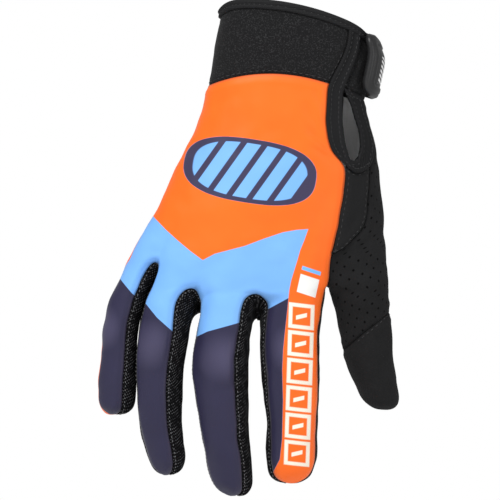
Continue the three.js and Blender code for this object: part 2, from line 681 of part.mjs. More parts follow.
// A curved slab that lies round the thumb's side of the cuff: its first angle and its count of steps.
function wrapSolid([from, across], shares, inside, thickness) {
  const down = 6;
  const list = [];
  const at = (i, j, lift) => {
    const { point, out } = cuffFrame(from + i * WRAP_STEP, mix(shares[0], shares[1], j / down));
    return point.addScaledVector(out, inside + lift * thickness);
  };
  for (let lift = 0; lift < 2; lift += 1) {
    for (let i = 0; i <= across; i += 1) for (let j = 0; j <= down; j += 1) list.push(at(i, j, lift));
  }
  const index = [];
  const size = (across + 1) * (down + 1);
  const id = (i, j) => i * (down + 1) + j;
  const quad = (a, b, c, d) => index.push(a, b, c, a, c, d);
  for (let i = 0; i < across; i += 1) {
    for (let j = 0; j < down; j += 1) {
      const [a, b, c, d] = [id(i, j), id(i, j + 1), id(i + 1, j + 1), id(i + 1, j)];
      quad(a + size, b + size, c + size, d + size);
      quad(a, d, c, b);
    }
  }
  for (let i = 0; i < across; i += 1) {
    quad(id(i, 0), id(i, 0) + size, id(i + 1, 0) + size, id(i + 1, 0));
    quad(id(i + 1, down), id(i + 1, down) + size, id(i, down) + size, id(i, down));
  }
  for (let j = 0; j < down; j += 1) {
    quad(id(0, j + 1), id(0, j + 1) + size, id(0, j) + size, id(0, j));
    quad(id(across, j), id(across, j) + size, id(across, j + 1) + size, id(across, j + 1));
  }
  return closedGeometry(list, index);
}

const group = new THREE.Group();
group.name = 'glove';
function addPiece(name, geometry, color, roughness) {
  const mesh = new THREE.Mesh(geometry, new THREE.MeshStandardMaterial({ color, roughness, metalness: 0 }));
  mesh.name = name;
  group.add(mesh);
}

// The panels that are sewn from the skin: name, colour, roughness, wall, how far it stands proud, and how far
// its edges stay inside the seams.
const HALF_GAP = SEAM_GAP / 2;
[
  ['back_panel', COLORS.print, 0.7, FABRIC_WALL, 0, HALF_GAP],
  ['palm_panel', COLORS.suede, 0.9, SUEDE_WALL, 0, SUEDE_INSET],
  ['fourchette_little_ring', COLORS.knit, 0.9, KNIT_WALL, 0, KNIT_INSET],
  ['fourchette_ring_middle', COLORS.knit, 0.9, KNIT_WALL, 0, KNIT_INSET],
  ['fourchette_middle_index', COLORS.knit, 0.9, KNIT_WALL, 0, KNIT_INSET],
  ['thumb_gusset', COLORS.smooth, 0.8, FABRIC_WALL, 0, HALF_GAP],
  ['thumb_panel', COLORS.suede, 0.9, SUEDE_WALL, 0, SUEDE_INSET],
  ['thumb_tip', COLORS.suede, 0.9, SUEDE_WALL, 0, HALF_GAP],
  ['cuff_back', COLORS.neoprene, 0.85, NEOPRENE_WALL, 0, HALF_GAP],
  ['cuff_palm', COLORS.neoprene, 0.85, NEOPRENE_WALL, 0, HALF_GAP],
  ['keyhole_binding', COLORS.tape, 0.8, FABRIC_WALL, TAPE_RAISE, HALF_GAP],
].forEach(([name, color, roughness, wall, raise, inset]) => {
  addPiece(name, skinSolid(name, wall, raise, inset), color, roughness);
});
addPiece('cuff_hem', hemGeometry(), COLORS.tape, 0.8);

// The closure on the thumb's side of the cuff: a strap that lies on the cuff, and a moulded tab on the strap.
const STRAP_ANGLES = [74, 16];
const TAB_ANGLES = [58, 12];
const strapInside = TAPE_RAISE + SEAM_GAP + 0.2;
const tabInside = strapInside + STRAP_THICKNESS + 2 * SEAM_GAP;
const sideLength = CUFF_LENGTH + 1;
const [tabTop, strapTop] = [TAB_HEIGHT, STRAP_HEIGHT].map((height) => 0.5 - height / sideLength / 2);
addPiece(
  'closure_strap',
  wrapSolid(STRAP_ANGLES, [strapTop + 0.03, 1.03 - strapTop], strapInside, STRAP_THICKNESS),
  COLORS.webbing, 0.9,
);
addPiece(
  'closure_tab',
  wrapSolid(TAB_ANGLES, [tabTop - 0.05, 0.95 - tabTop], tabInside, TAB_THICKNESS),
  COLORS.rubber, 0.5,
);

export default group;
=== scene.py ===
import bisect
import math

import bmesh
import bpy
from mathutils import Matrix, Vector, noise
from mathutils.bvhtree import BVHTree
from mathutils.kdtree import KDTree


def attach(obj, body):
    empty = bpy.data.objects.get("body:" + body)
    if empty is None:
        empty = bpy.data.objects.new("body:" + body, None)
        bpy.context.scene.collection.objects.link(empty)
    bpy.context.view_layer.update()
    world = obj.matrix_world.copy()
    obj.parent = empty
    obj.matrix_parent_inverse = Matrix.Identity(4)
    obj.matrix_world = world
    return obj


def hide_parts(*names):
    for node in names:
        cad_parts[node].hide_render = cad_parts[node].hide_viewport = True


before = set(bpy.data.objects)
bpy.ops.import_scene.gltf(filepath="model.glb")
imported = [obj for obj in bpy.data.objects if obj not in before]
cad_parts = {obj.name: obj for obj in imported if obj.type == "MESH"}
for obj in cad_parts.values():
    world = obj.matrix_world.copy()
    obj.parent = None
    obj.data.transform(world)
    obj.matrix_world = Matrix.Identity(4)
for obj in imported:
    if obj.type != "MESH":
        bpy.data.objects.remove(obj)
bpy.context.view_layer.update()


# The skin. A filled glove is one skin of rings: each ring goes round the wrist and hand, and past a web
# it goes round each digit by itself. Every sewn panel is a part of this skin, laid out here in
# millimetres on the cuff's middle, and cut out further down along its seams.
HAND_LENGTH = 132
HALF_BREADTH = 65
HALF_THICKNESS = 20
CUFF_LENGTH = 30
KEYHOLE_LENGTH = 36
WEB_SLANT = 12
ROUNDNESS = 2 / 2.4
OPENING_HEIGHT = 2.2
SEAM_HEIGHT = -CUFF_LENGTH + 1.6
KEYHOLE_END = SEAM_HEIGHT - KEYHOLE_LENGTH - 5


def mix(a, b, share):
    return a + (b - a) * share


def smooth(share):
    share = min(max(share, 0), 1)
    return share * share * (3 - 2 * share)


def track(rows, column):
    """A smooth value between the rows of a table, whose first column is the place of each row."""
    def slope(i):
        a, b = rows[max(i - 1, 0)], rows[min(i + 1, len(rows) - 1)]
        return (b[column] - a[column]) / (b[0] - a[0])

    def value(place):
        if place <= rows[0][0]:
            return rows[0][column]
        if place >= rows[-1][0]:
            return rows[-1][column]
        i = 0
        while place > rows[i + 1][0]:
            i += 1
        span = rows[i + 1][0] - rows[i][0]
        t = (place - rows[i][0]) / span
        return ((2 * t ** 3 - 3 * t ** 2 + 1) * rows[i][column]
                + (t ** 3 - 2 * t ** 2 + t) * span * slope(i)
                + (3 * t ** 2 - 2 * t ** 3) * rows[i + 1][column]
                + (t ** 3 - t ** 2) * span * slope(i + 1))

    return value


# Share of the hand's length, left and right edges, half thickness, and each edge's bend to the palm.
HAND_ROWS = [
    (0.00, -0.535, 0.515, 1.08, 0.00, 0.00),
    (0.06, -0.565, 0.545, 1.08, 0.00, 0.00),
    (0.13, -0.588, 0.525, 1.06, 0.00, 0.00),
    (0.22, -0.632, 0.490, 1.02, 0.00, 0.02),
    (0.32, -0.668, 0.512, 1.00, 0.05, 0.05),
    (0.44, -0.768, 0.568, 0.98, 0.10, 0.25),
    (0.58, -0.895, 0.600, 0.94, 0.15, 0.50),
    (0.72, -1.045, 0.640, 0.88, 0.20, 0.75),
    (0.86, -1.195, 0.685, 0.80, 0.25, 0.95),
    (0.96, -1.300, 0.690, 0.73, 0.28, 1.05),
    (1.00, -1.330, 0.676, 0.71, 0.30, 1.10),
]
hand_left, hand_right, hand_depth, bend_left, bend_right = (track(HAND_ROWS, k) for k in range(1, 6))


def rounded(value):
    return math.copysign(abs(value) ** ROUNDNESS, value)


def hand_point(angle, row):
    """A point of the hand's ring: 0 degrees is the back of the hand, 90 the thumb's side, 180 the palm."""
    share = -row["z"] / HAND_LENGTH
    left, right = hand_left(share) * HALF_BREADTH, hand_right(share) * HALF_BREADTH
    side, front = rounded(math.sin(math.radians(angle))), rounded(math.cos(math.radians(angle)))
    bend = (bend_left if side < 0 else bend_right)(share) * HALF_THICKNESS
    return Vector((
        (left + right) / 2 + (right - left) / 2 * side,
        bend * side * side - hand_depth(share) * HALF_THICKNESS * front,
        row["z"] + row["lean"] * side + row["dome"] * side * side - row.get("corner", 0) * side ** 12
        - row["slant"] * (1 - front) / 2 * (1 - smooth((side - 0.1) / 0.38)),
    ))


def angle_of(share):
    """The angle at which the hand's ring passes a share of its half width."""
    angle = math.degrees(math.asin(min(abs(share), 1) ** (1 / ROUNDNESS)))
    return math.copysign(angle, share)


# Rows of each digit: share of its length, centre to the side and to the palm, half width and half depth,
# all four as shares of its girth. Corners: the angles of its four seams.
DIGITS = [
    dict(name="little", slanted=1, level=0, length=54, girth=18, cap=0.17, corners=(-100, 20, 100, 215),
         steps=5, rows=[
        (-0.80, -3.22, 0.25, 0.38, 0.46), (-0.35, -3.91, 0.30, 0.38, 0.46), (-0.15, -4.09, 0.33, 0.45, 0.50),
        (0.00, -4.295, 0.38, 0.485, 0.50), (0.25, -4.465, 0.45, 0.450, 0.49), (0.45, -4.535, 0.52, 0.468, 0.48),
        (0.62, -4.560, 0.62, 0.476, 0.47), (0.80, -4.592, 0.76, 0.503, 0.46), (1.00, -4.625, 0.95, 0.515, 0.44)]),
    dict(name="ring", slanted=1, level=0, length=82, girth=23, cap=0.115, corners=(-80, 20, 100, 200),
         steps=6, rows=[
        (-0.52, -1.96, 0.00, 0.455, 0.50), (-0.22, -2.29, 0.02, 0.455, 0.50), (-0.07, -2.42, 0.03, 0.455, 0.50),
        (0.00, -2.54, 0.05, 0.480, 0.50), (0.17, -2.63, 0.12, 0.535, 0.50), (0.29, -2.70, 0.19, 0.515, 0.48),
        (0.40, -2.74, 0.28, 0.500, 0.47), (0.57, -2.74, 0.42, 0.468, 0.45), (0.68, -2.74, 0.52, 0.460, 0.44),
        (0.80, -2.67, 0.65, 0.430, 0.42), (0.90, -2.60, 0.76, 0.398, 0.40), (1.00, -2.57, 0.88, 0.370, 0.37)]),
    dict(name="middle", slanted=1, level=0, length=92, girth=25, cap=0.108, corners=(-85, 32, 105, 195),
         steps=7, rows=[
        (-0.46, -0.96, -0.05, 0.50, 0.50), (-0.20, -1.10, -0.04, 0.500, 0.50), (0.00, -1.25, -0.03, 0.520, 0.50),
        (0.15, -1.32, 0.02, 0.515, 0.49), (0.26, -1.40, 0.08, 0.530, 0.48), (0.36, -1.41, 0.16, 0.544, 0.47),
        (0.46, -1.39, 0.25, 0.524, 0.46), (0.61, -1.34, 0.41, 0.465, 0.44), (0.71, -1.31, 0.54, 0.460, 0.43),
        (0.81, -1.24, 0.68, 0.432, 0.41), (0.91, -1.19, 0.83, 0.410, 0.39), (1.00, -1.13, 0.96, 0.380, 0.36)]),
    dict(name="index", slanted=1, level=1, length=86, girth=26, cap=0.14, corners=(-56, 80, 115, 215),
         steps=7, rows=[
        (-0.50, 0.10, 0.00, 0.520, 0.50), (-0.20, 0.05, 0.03, 0.520, 0.50), (0.00, -0.05, 0.07, 0.535, 0.50),
        (0.16, -0.115, 0.13, 0.542, 0.48), (0.27, -0.123, 0.19, 0.531, 0.47), (0.38, -0.113, 0.26, 0.535, 0.46),
        (0.49, -0.090, 0.34, 0.512, 0.45), (0.65, -0.080, 0.49, 0.470, 0.43), (0.75, -0.080, 0.60, 0.468, 0.43),
        (0.86, -0.075, 0.72, 0.462, 0.41), (1.00, -0.110, 0.86, 0.440, 0.38)]),
    dict(name="thumb", slanted=0, level=0, length=52, girth=26, cap=0.155, corners=(-95, 205, 205, 205),
         steps=6, rows=[
        (-0.85, 1.02, 0.42, 0.570, 0.52), (-0.35, 1.08, 0.46, 0.570, 0.52), (-0.08, 1.14, 0.54, 0.545, 0.50),
        (0.00, 1.15, 0.58, 0.535, 0.50), (0.18, 1.23, 0.68, 0.505, 0.48), (0.36, 1.27, 0.80, 0.488, 0.46),
        (0.54, 1.31, 0.88, 0.442, 0.44), (0.72, 1.40, 0.96, 0.400, 0.42), (0.85, 1.49, 1.00, 0.370, 0.39),
        (1.00, 1.60, 1.06, 0.340, 0.34)]),
]
DIGIT_ROOT = 1 - HAND_LENGTH
TIP_ROUNDNESS = 0.82
for digit in DIGITS:
    digit["tracks"] = [track(digit["rows"], k) for k in range(1, 5)]
    digit["tip"] = DIGIT_ROOT - digit["length"]
    digit["cap_start"] = digit["tip"] + digit["cap"] * digit["length"]


def digit_point(digit, angle, row):
    a = math.radians(angle)
    level = digit["slanted"] * (1 - digit["level"] * max(0, math.sin(a)))
    z = row["z"] - row["slant"] * (1 - math.cos(a)) / 2 * level + row["skew"] * math.sin(a)
    side, depth, width, thick = (f((DIGIT_ROOT - z) / digit["length"]) * digit["girth"] for f in digit["tracks"])
    return Vector((side + width * row["close"] * math.sin(a), depth - thick * row["close"] * math.cos(a), z))


# Webs between neighbours: height, places on the back and the palm, and how fast the gap opens below.
WEBS = [
    dict(name="little_ring", height=0.854, share=-0.775, palm=-0.69, opens=9),
    dict(name="ring_middle", height=0.952, share=-0.416, palm=-0.37, opens=9),
    dict(name="middle_index", height=0.972, share=0.027, palm=0.03, opens=9),
    dict(name="index_thumb", height=0.952, share=0.536, palm=0.5, opens=15),
]
WEB_VALLEY = 4.5
KNUCKLE_REACH = 30
THUMB_REACH = 42
# The thumb's side of the hand, as shares: down the hand, then across it the back panel's border, the keyhole's
# two rims and the gusset's seam.
SEAM_ROWS = [
    (0.00, 0.740, 0.860, 0.885, 0.985, 0.75), (0.12, 0.640, 0.770, 0.795, 0.970, 0.75),
    (0.215, 0.545, 0.705, 0.735, 0.940, 0.72), (0.260, 0.525, 0.685, 0.815, 0.970, 0.70),
    (0.330, 0.500, 0.670, 0.865, 0.985, 0.66), (0.400, 0.480, 0.645, 0.870, 0.985, 0.60),
    (0.460, 0.510, 0.665, 0.835, 0.970, 0.54), (0.500, 0.590, 0.705, 0.790, 0.935, 0.48),
    (0.530, 0.680, 0.750, 0.820, 0.900, 0.44), (0.600, 0.655, 0.725, 0.805, 0.885, 0.38),
    (0.656, 0.638, 0.712, 0.790, 0.865, 0.33), (0.705, 0.620, 0.695, 0.770, 0.845, 0.31),
    (0.750, 0.595, 0.660, 0.725, 0.790, 0.31), (0.778, 0.572, 0.625, 0.677, 0.730, 0.32),
    (0.812, 0.548, 0.582, 0.616, 0.650, 0.34), (0.836, 0.540, 0.541, 0.542, 0.543, 0.36),
    (0.952, 0.536, 0.536, 0.536, 0.536, 0.50),
]
seam_share = [track(SEAM_ROWS, k) for k in range(1, 6)]
last_web = WEBS[2]["height"] * HAND_LENGTH
# The cuff's rings lean and dome, from its upper edge to its seam, and its edge's corners hang down a little.
CUFF_LEAN, CUFF_DOME, CUFF_CORNER = (-6.9, -3.5), (-5, -8), 3.5


def cuff_row(t):
    return dict(z=mix(OPENING_HEIGHT, SEAM_HEIGHT, t), lean=mix(*CUFF_LEAN, t), dome=mix(*CUFF_DOME, t),
                corner=CUFF_CORNER * (1 - t) ** 2, slant=0, skew=0, close=1)


shared = [dict(cuff_row(i / 3), zone="cuff") for i in range(4)]
for t in (0.1, 0.27, 0.5, 0.7, 0.82, 0.89, 1):
    shared.append(dict(z=mix(SEAM_HEIGHT, KEYHOLE_END, t), lean=CUFF_LEAN[1] * (1 - t),
                       dome=CUFF_DOME[1] * (1 - t), zone="under keyhole" if t > 0.89 else "keyhole"))
for share in (0.6, 0.656, 0.705, 0.75, 0.778, 0.812, 0.836):
    shared.append(dict(z=-share * HAND_LENGTH, lean=0, dome=0, zone="hand"))
for web, drop in ((0, 0), (0, 1.8), (0, 5), (1, 0), (1, 1.2), (2, 0), (2, 1.7), (2, 4.2), (2, 7.5)):
    shared.append(dict(z=-WEBS[web]["height"] * HAND_LENGTH - drop, lean=0, dome=0, zone="hand"))
for row in shared:
    slant = WEB_SLANT * smooth((KEYHOLE_END - row["z"]) / (last_web + KEYHOLE_END))
    row.update(slant=slant, skew=0, close=1)
for web in WEBS:
    web["z"] = -web["height"] * HAND_LENGTH
    web["row"] = next(i for i, row in enumerate(shared) if abs(row["z"] - web["z"]) < 1e-6)
for digit in DIGITS:
    start = shared[-1]
    digit["all"] = [dict(row) for row in shared]
    shares = [0.12, 0.26, 0.42, 0.6, 0.8, 1] if digit["name"] == "thumb" else [
        i / digit["steps"] for i in range(1, digit["steps"] + 1)]
    for i, t in enumerate(shares):
        digit["all"].append(dict(z=mix(start["z"], digit["cap_start"], t), lean=0, dome=0, close=1, skew=0,
                                 slant=start["slant"] * (1 - smooth((i + 1) / digit["steps"])), zone="digit"))
    for angle in (26, 48, 67, 82, 90):
        sine, cosine = math.sin(math.radians(angle)), max(math.cos(math.radians(angle)), 0)
        digit["all"].append(dict(z=digit["cap_start"] - (digit["cap_start"] - digit["tip"]) * sine ** TIP_ROUNDNESS,
                                 lean=0, dome=0, slant=0, skew=0, close=0 if angle == 90 else cosine ** TIP_ROUNDNESS,
                                 zone="digit"))
thumb, thumb_web = DIGITS[4], WEBS[3]
THUMB_SEAM_SLANT = 9.4
thumb_seam = len(shared) + 1
thumb_seam_z = thumb["all"][thumb_seam]["z"]
for row in thumb["all"][thumb_web["row"] + 1:]:
    before = smooth((thumb_web["z"] - row["z"]) / (thumb_web["z"] - thumb_seam_z))
    after = 1 - smooth((thumb_seam_z - row["z"]) / (thumb_seam_z - thumb["cap_start"]))
    row["skew"] = THUMB_SEAM_SLANT * min(before, after)


def turned(web, z):
    """How far a ring has turned from the hand's form into the digit's."""
    return smooth((web["z"] + KNUCKLE_REACH - z) / KNUCKLE_REACH)


def web_seam(web, row, front):
    if web is thumb_web:
        share = seam_share[0 if front else 4](-row["z"] / HAND_LENGTH)
    else:
        share = web["share" if front else "palm"]
    angle = angle_of(share) if front else 180 - angle_of(share)
    point = hand_point(angle, row)
    point.y += (1 if front else -1) * WEB_VALLEY * turned(web, row["z"]) ** 2
    return angle, point


def saddle(web, share):
    row = shared[web["row"]]
    return web_seam(web, row, True)[1].lerp(web_seam(web, row, False)[1], share)


def side_point(digit, web, share, angle, row):
    """A point of a digit's side below its web, which opens like a rounded arch."""
    start, free = saddle(web, share), digit_point(digit, angle, row)
    drop = min(max((start.z - free.z) / web["opens"], 0), 1)
    return start.lerp(free, 0 if row is digit["all"][web["row"]] else math.sqrt(1 - (1 - drop) ** 2))


def strip_point(digit, row, u, turn, angles, weight, ends, fade):
    """A point of the strip between two seams, pulled straight onto both of them."""
    def base(t):
        return hand_point(turn(t), row).lerp(digit_point(digit, mix(*angles, t), row), weight)
    return base(u) + (ends[0] - base(0)) * (1 - u) ** fade + (ends[1] - base(1)) * u ** fade


def strip_end(digit, web, i, front, angle):
    row = digit["all"][i]
    if i <= web["row"]:
        return web_seam(web, shared[i], front)
    on_hand = web_seam(web, dict(row, z=max(row["z"], -HAND_LENGTH)), front)[0]
    return on_hand, side_point(digit, web, 0 if front else 1, angle, row)


# The outer side's two borders: the angle on the hand and on the little finger.
OUTER_BACK, OUTER_PALM = (-92, -100), (-116, -145)


def outer_point(digit, row, on_hand, on_digit):
    return hand_point(on_hand, row).lerp(digit_point(digit, on_digit, row), turned(WEBS[0], row["z"]))


def thumb_angles(i):
    share = min(-thumb["all"][i]["z"] / HAND_LENGTH, thumb_web["height"])
    return [angle_of(seam_share[k](share)) for k in range(4)]


skin = bmesh.new()
piece_code = skin.faces.layers.int.new("piece")
flat = skin.loops.layers.uv.new("flat")
PANELS = ["", "back_panel", "palm_panel", "fourchette_little_ring", "fourchette_ring_middle",
          "fourchette_middle_index", "thumb_gusset", "thumb_panel", "thumb_tip", "cuff_back", "cuff_palm",
          "keyhole_binding"]


def lay(digit, columns, point_at, panel_at, first=0):
    """Lay a strip of the skin: a grid whose points go onto their places. Its flat map is in millimetres."""
    rows = len(digit["all"]) - 1 - first if digit else thumb_web["row"]
    made = bmesh.ops.create_grid(skin, x_segments=columns, y_segments=rows, size=1)["verts"]
    places, spread = {}, {}
    grid = {}
    for vert in made:
        i = round((1 - vert.co.y) / 2 * rows) + first
        j = round((vert.co.x + 1) / 2 * columns)
        places[vert] = (i, j)
        grid[i, j] = point_at(i, j)
    for i in range(first, first + rows + 1):
        length = 0
        for j in range(columns + 1):
            length += (grid[i, j] - grid[i, max(j - 1, 0)]).length
            spread[i, j] = (length, -grid[i, j].z)
    for vert in made:
        vert.co = grid[places[vert]] / 1000
    for face in {face for vert in made for face in vert.link_faces}:
        corners = [places[vert] for vert in face.verts]
        panel = panel_at(max(i for i, j in corners), min(j for i, j in corners))
        face[piece_code] = PANELS.index(panel)
        for loop in face.loops:
            loop[flat].uv = spread[places[loop.vert]]


for n, digit in enumerate(DIGITS[:4]):
    back_left, back_right, palm_right, palm_left = digit["corners"]
    left_web, right_web = (WEBS[n - 1] if n else None), WEBS[n]

    def back_at(i, j, columns=5):
        row = digit["all"][i]
        left = (strip_end(digit, left_web, i, True, back_left) if n
                else (OUTER_BACK[0], outer_point(digit, row, *OUTER_BACK)))
        right = strip_end(digit, right_web, i, True, back_right)
        weight = max(turned(right_web, row["z"]), turned(left_web, row["z"]) if n else 0)
        return strip_point(digit, row, j / columns, lambda t: mix(left[0], right[0], t),
                           (back_left, back_right), weight, (left[1], right[1]), 1 + 4 * weight)

    def palm_at(i, j, columns=4):
        row = digit["all"][i]
        right = strip_end(digit, right_web, i, False, palm_right)
        left = (strip_end(digit, left_web, i, False, palm_left) if n
                else (OUTER_PALM[0] + 360, outer_point(digit, row, *OUTER_PALM)))
        weight = max(turned(right_web, row["z"]), turned(left_web, row["z"]) if n else 0)
        return strip_point(digit, row, j / columns, lambda t: mix(right[0], left[0], t),
                           (palm_right, palm_left), weight, (right[1], left[1]), 1 + 4 * weight)

    def zone_of(i):
        return digit["all"][i]["zone"]

    def right_side(i, j):
        share = j / 3
        if i == right_web["row"]:
            return saddle(right_web, share)
        return side_point(digit, right_web, share, mix(back_right, palm_right, share), digit["all"][i])

    def left_side(i, j):
        share = 1 - j / 3
        if i == left_web["row"]:
            return saddle(left_web, share)
        angle = mix(palm_left, back_left + 360, 1 - share)
        return side_point(digit, left_web, share, angle, digit["all"][i])

    lay(digit, 5, back_at, lambda i, j: "cuff_back" if zone_of(i) == "cuff" else "back_panel")
    lay(digit, 4, palm_at, lambda i, j: "cuff_palm" if zone_of(i) == "cuff" else "palm_panel")
    if n == 0:
        lay(digit, 3, lambda i, j: outer_point(digit, digit["all"][i], mix(OUTER_PALM[0], OUTER_BACK[0], j / 3),
                                               mix(OUTER_PALM[1], OUTER_BACK[1], j / 3)),
            lambda i, j: "cuff_back" if zone_of(i) == "cuff" else "back_panel")
    lay(digit, 3, right_side, lambda i, j: f"fourchette_{right_web['name']}" if n < 3 else "palm_panel",
        right_web["row"])
    if n:
        lay(digit, 3, left_side, lambda i, j: f"fourchette_{left_web['name']}", left_web["row"])


CLOSED = 0.3  # degrees: the band between the seams has run out where it is narrower
KEYHOLE_SAG, SAG_REACH = 3, 16


def border_at(i, j):
    """The band from the back panel's border over the keyhole to the gusset's seam."""
    angles, row = thumb_angles(i), thumb["all"][i]
    if j == 0:
        return web_seam(thumb_web, row, True)[1]
    k = min(j // 2, 2)
    point = hand_point(mix(angles[k], angles[k + 1], (j - k * 2) / 2), row)
    sag = 0 if row["zone"] == "cuff" else max(0, 1 - abs(row["z"] - KEYHOLE_END) / SAG_REACH)
    point.z -= KEYHOLE_SAG * sag * (1 - (j / 3 - 1) ** 2)
    if j < 6 or angles[3] - angles[0] < CLOSED:
        point.y += WEB_VALLEY * turned(thumb_web, row["z"]) ** 2 * max(0, 1 - (angles[3] - angles[0]) / 6)
    return point


def border_panel(i, j):
    zone = thumb["all"][i]["zone"]
    above = thumb_angles(i - 1)
    if above[3] - above[0] < 0.5:
        return ""
    if zone == "cuff":
        return "keyhole_binding" if j < 2 else "" if j < 4 else "cuff_palm"
    if zone == "keyhole":
        return "keyhole_binding" if j < 2 or j > 3 else ""
    return "keyhole_binding" if zone == "under keyhole" else "thumb_gusset"


def thumb_start(i):
    if i > thumb_web["row"]:
        return side_point(thumb, thumb_web, 0, thumb["corners"][0], thumb["all"][i])
    angles = thumb_angles(i)
    if angles[3] - angles[0] < CLOSED:
        return web_seam(thumb_web, thumb["all"][i], True)[1]
    return hand_point(angles[3], thumb["all"][i])


def thumb_at(i, j, columns=11):
    row = thumb["all"][i]
    right = strip_end(thumb, thumb_web, i, False, thumb["corners"][1])
    start = angle_of(0.536) if i > thumb_web["row"] else thumb_angles(i)[3]
    edge = (90 - thumb["corners"][0]) / (thumb["corners"][1] - thumb["corners"][0])
    weight = smooth((thumb_web["z"] + THUMB_REACH - row["z"]) / THUMB_REACH)

    def turn(u):
        return mix(start, 90, u / edge) if u < edge else mix(90, right[0], (u - edge) / (1 - edge))
    return strip_point(thumb, row, j / columns, turn, thumb["corners"][:2], weight,
                       (thumb_start(i), right[1]), 1 + 6 * weight)


def thumb_inside(i, j):
    share = 1 - j / 3
    if i == thumb_web["row"]:
        return saddle(thumb_web, share)
    angle = mix(thumb["corners"][1], thumb["corners"][0] + 360, 1 - share)
    return side_point(thumb, thumb_web, share, angle, thumb["all"][i])


def thumb_cut(i, j):
    return "thumb_tip" if i > thumb_seam else "thumb_panel"


lay(None, 6, border_at, border_panel)
lay(thumb, 11, thumb_at, lambda i, j: "cuff_palm" if thumb["all"][i]["zone"] == "cuff" else thumb_cut(i, j))
lay(thumb, 3, thumb_inside, thumb_cut, thumb_web["row"])
bmesh.ops.remove_doubles(skin, verts=skin.verts, dist=2e-6)
skin.normal_update()
outward = skin.verts.layers.float_vector.new("outward")
for vert in skin.verts:
    vert[outward] = vert.normal


# The lining: the brushed inside of the stretch cloth and the suede, pale round the hand. In the fingers and
# along the seams it is painted dark, as painted shade. It isn't a piece of its own, but the inner face of the
# panels, and it is seen through the keyhole and inside the cuff.
class Wire:
    """A value in a finish's node tree, which takes part in sums as a number does."""

    def __init__(self, finish, socket):
        self.finish, self.socket = finish, socket

    def do(self, operation, *terms, clamp=False):
        return self.finish.add("ShaderNodeMath", {"operation": operation, "use_clamp": clamp}, terms)

    def __add__(self, other):
        return self.do("ADD", self, other)

    def __radd__(self, other):
        return self.do("ADD", other, self)

    def __sub__(self, other):
        return self.do("SUBTRACT", self, other)

    def __rsub__(self, other):
        return self.do("SUBTRACT", other, self)

    def __mul__(self, other):
        return self.do("MULTIPLY", self, other)

    def __rmul__(self, other):
        return self.do("MULTIPLY", other, self)

    def __truediv__(self, other):
        return self.do("DIVIDE", self, other)

    def __pow__(self, other):
        return self.do("POWER", self, other)

    def __abs__(self):
        return self.do("ABSOLUTE", self)

    def wave(self, pitch):
        """A ripple from 0 to 1, once in each pitch."""
        return self.do("SINE", self * (2 * math.pi / pitch)) * 0.5 + 0.5

    def over(self, edge, soft):
        """1 where this is past the edge, 0 before it, with a soft border."""
        return self.do("ADD", (self - edge) / soft, 0.5, clamp=True)


class Finish:
    """A material: its nodes are added one by one and wired to the surface's shader."""

    def __init__(self, name, **fixed):
        self.material = bpy.data.materials.new(name)
        self.material.use_nodes = True
        self.tree = self.material.node_tree
        self.shader = self.tree.nodes["Principled BSDF"]
        for socket, value in fixed.items():
            self.shader.inputs[socket.replace("_", " ")].default_value = value
        self.height = None

    def plug(self, target, value):
        if isinstance(value, Wire):
            self.tree.links.new(value.socket, target)
        elif target.type == "RGBA" and len(value) == 3:
            target.default_value = (*value, 1)
        else:
            target.default_value = value

    def add(self, kind, settings=(), inputs=(), output=0):
        node = self.tree.nodes.new(kind)
        for key, value in dict(settings).items():
            setattr(node, key, value)
        pairs = inputs.items() if isinstance(inputs, dict) else enumerate(inputs)
        for key, value in pairs:
            self.plug(node.inputs[key], value)
        return Wire(self, node.outputs[output])

    def blend(self, share, first, second):
        return self.add("ShaderNodeMix", {"data_type": "RGBA"}, {0: share, 6: first, 7: second}, 2)

    def place(self):
        """Millimetres to the right of the cuff's middle, to the palm, and below the cuff."""
        where = self.add("ShaderNodeTexCoord", output=3)
        split = self.add("ShaderNodeSeparateXYZ", inputs=[where])
        parts = [Wire(self, out) for out in split.socket.node.outputs]
        return parts[0] * 1000, parts[1] * 1000, parts[2] * -1000

    def flat_place(self):
        """Millimetres across and down a panel, as its cloth lies flat."""
        where = self.add("ShaderNodeUVMap", {"uv_map": "flat"})
        split = self.add("ShaderNodeSeparateXYZ", inputs=[where])
        return [Wire(self, out) for out in split.socket.node.outputs][:2]

    def noise(self, size, detail=2):
        """Cloudy variation from 0 to 1, of a grain size in millimetres."""
        where = self.add("ShaderNodeTexCoord", output=3)
        return self.add("ShaderNodeTexNoise", inputs={"Vector": where, "Scale": 1000 / size, "Detail": detail})

    def graph(self, value, points):
        """A line drawn through points, read off at a value."""
        low, high = points[0][0], points[-1][0]
        bottom, top = min(y for x, y in points), max(y for x, y in points)
        node = self.add("ShaderNodeFloatCurve", inputs=[1.0, (value - low) / (high - low)]).socket.node
        curve = node.mapping.curves[0]
        scaled = [((x - low) / (high - low), (y - bottom) / (top - bottom)) for x, y in points]
        for i, place in enumerate(scaled):
            if i in (0, len(scaled) - 1):
                curve.points[0 if i == 0 else -1].location = place
            else:
                curve.points.new(*place)
        for point in curve.points:
            point.handle_type = "VECTOR"
        node.mapping.update()
        return Wire(self, node.outputs[0]) * (top - bottom) + bottom

    def paint(self, **sockets):
        for socket, value in sockets.items():
            self.plug(self.shader.inputs[socket.replace("_", " ")], value)

    def emboss(self, height, strength, depth):
        """Relief from a height of 0 to 1, as deep as depth in millimetres."""
        normal = self.add("ShaderNodeBump", inputs={"Strength": strength, "Distance": depth / 1000, "Height": height})
        self.plug(self.shader.inputs["Normal"], normal)

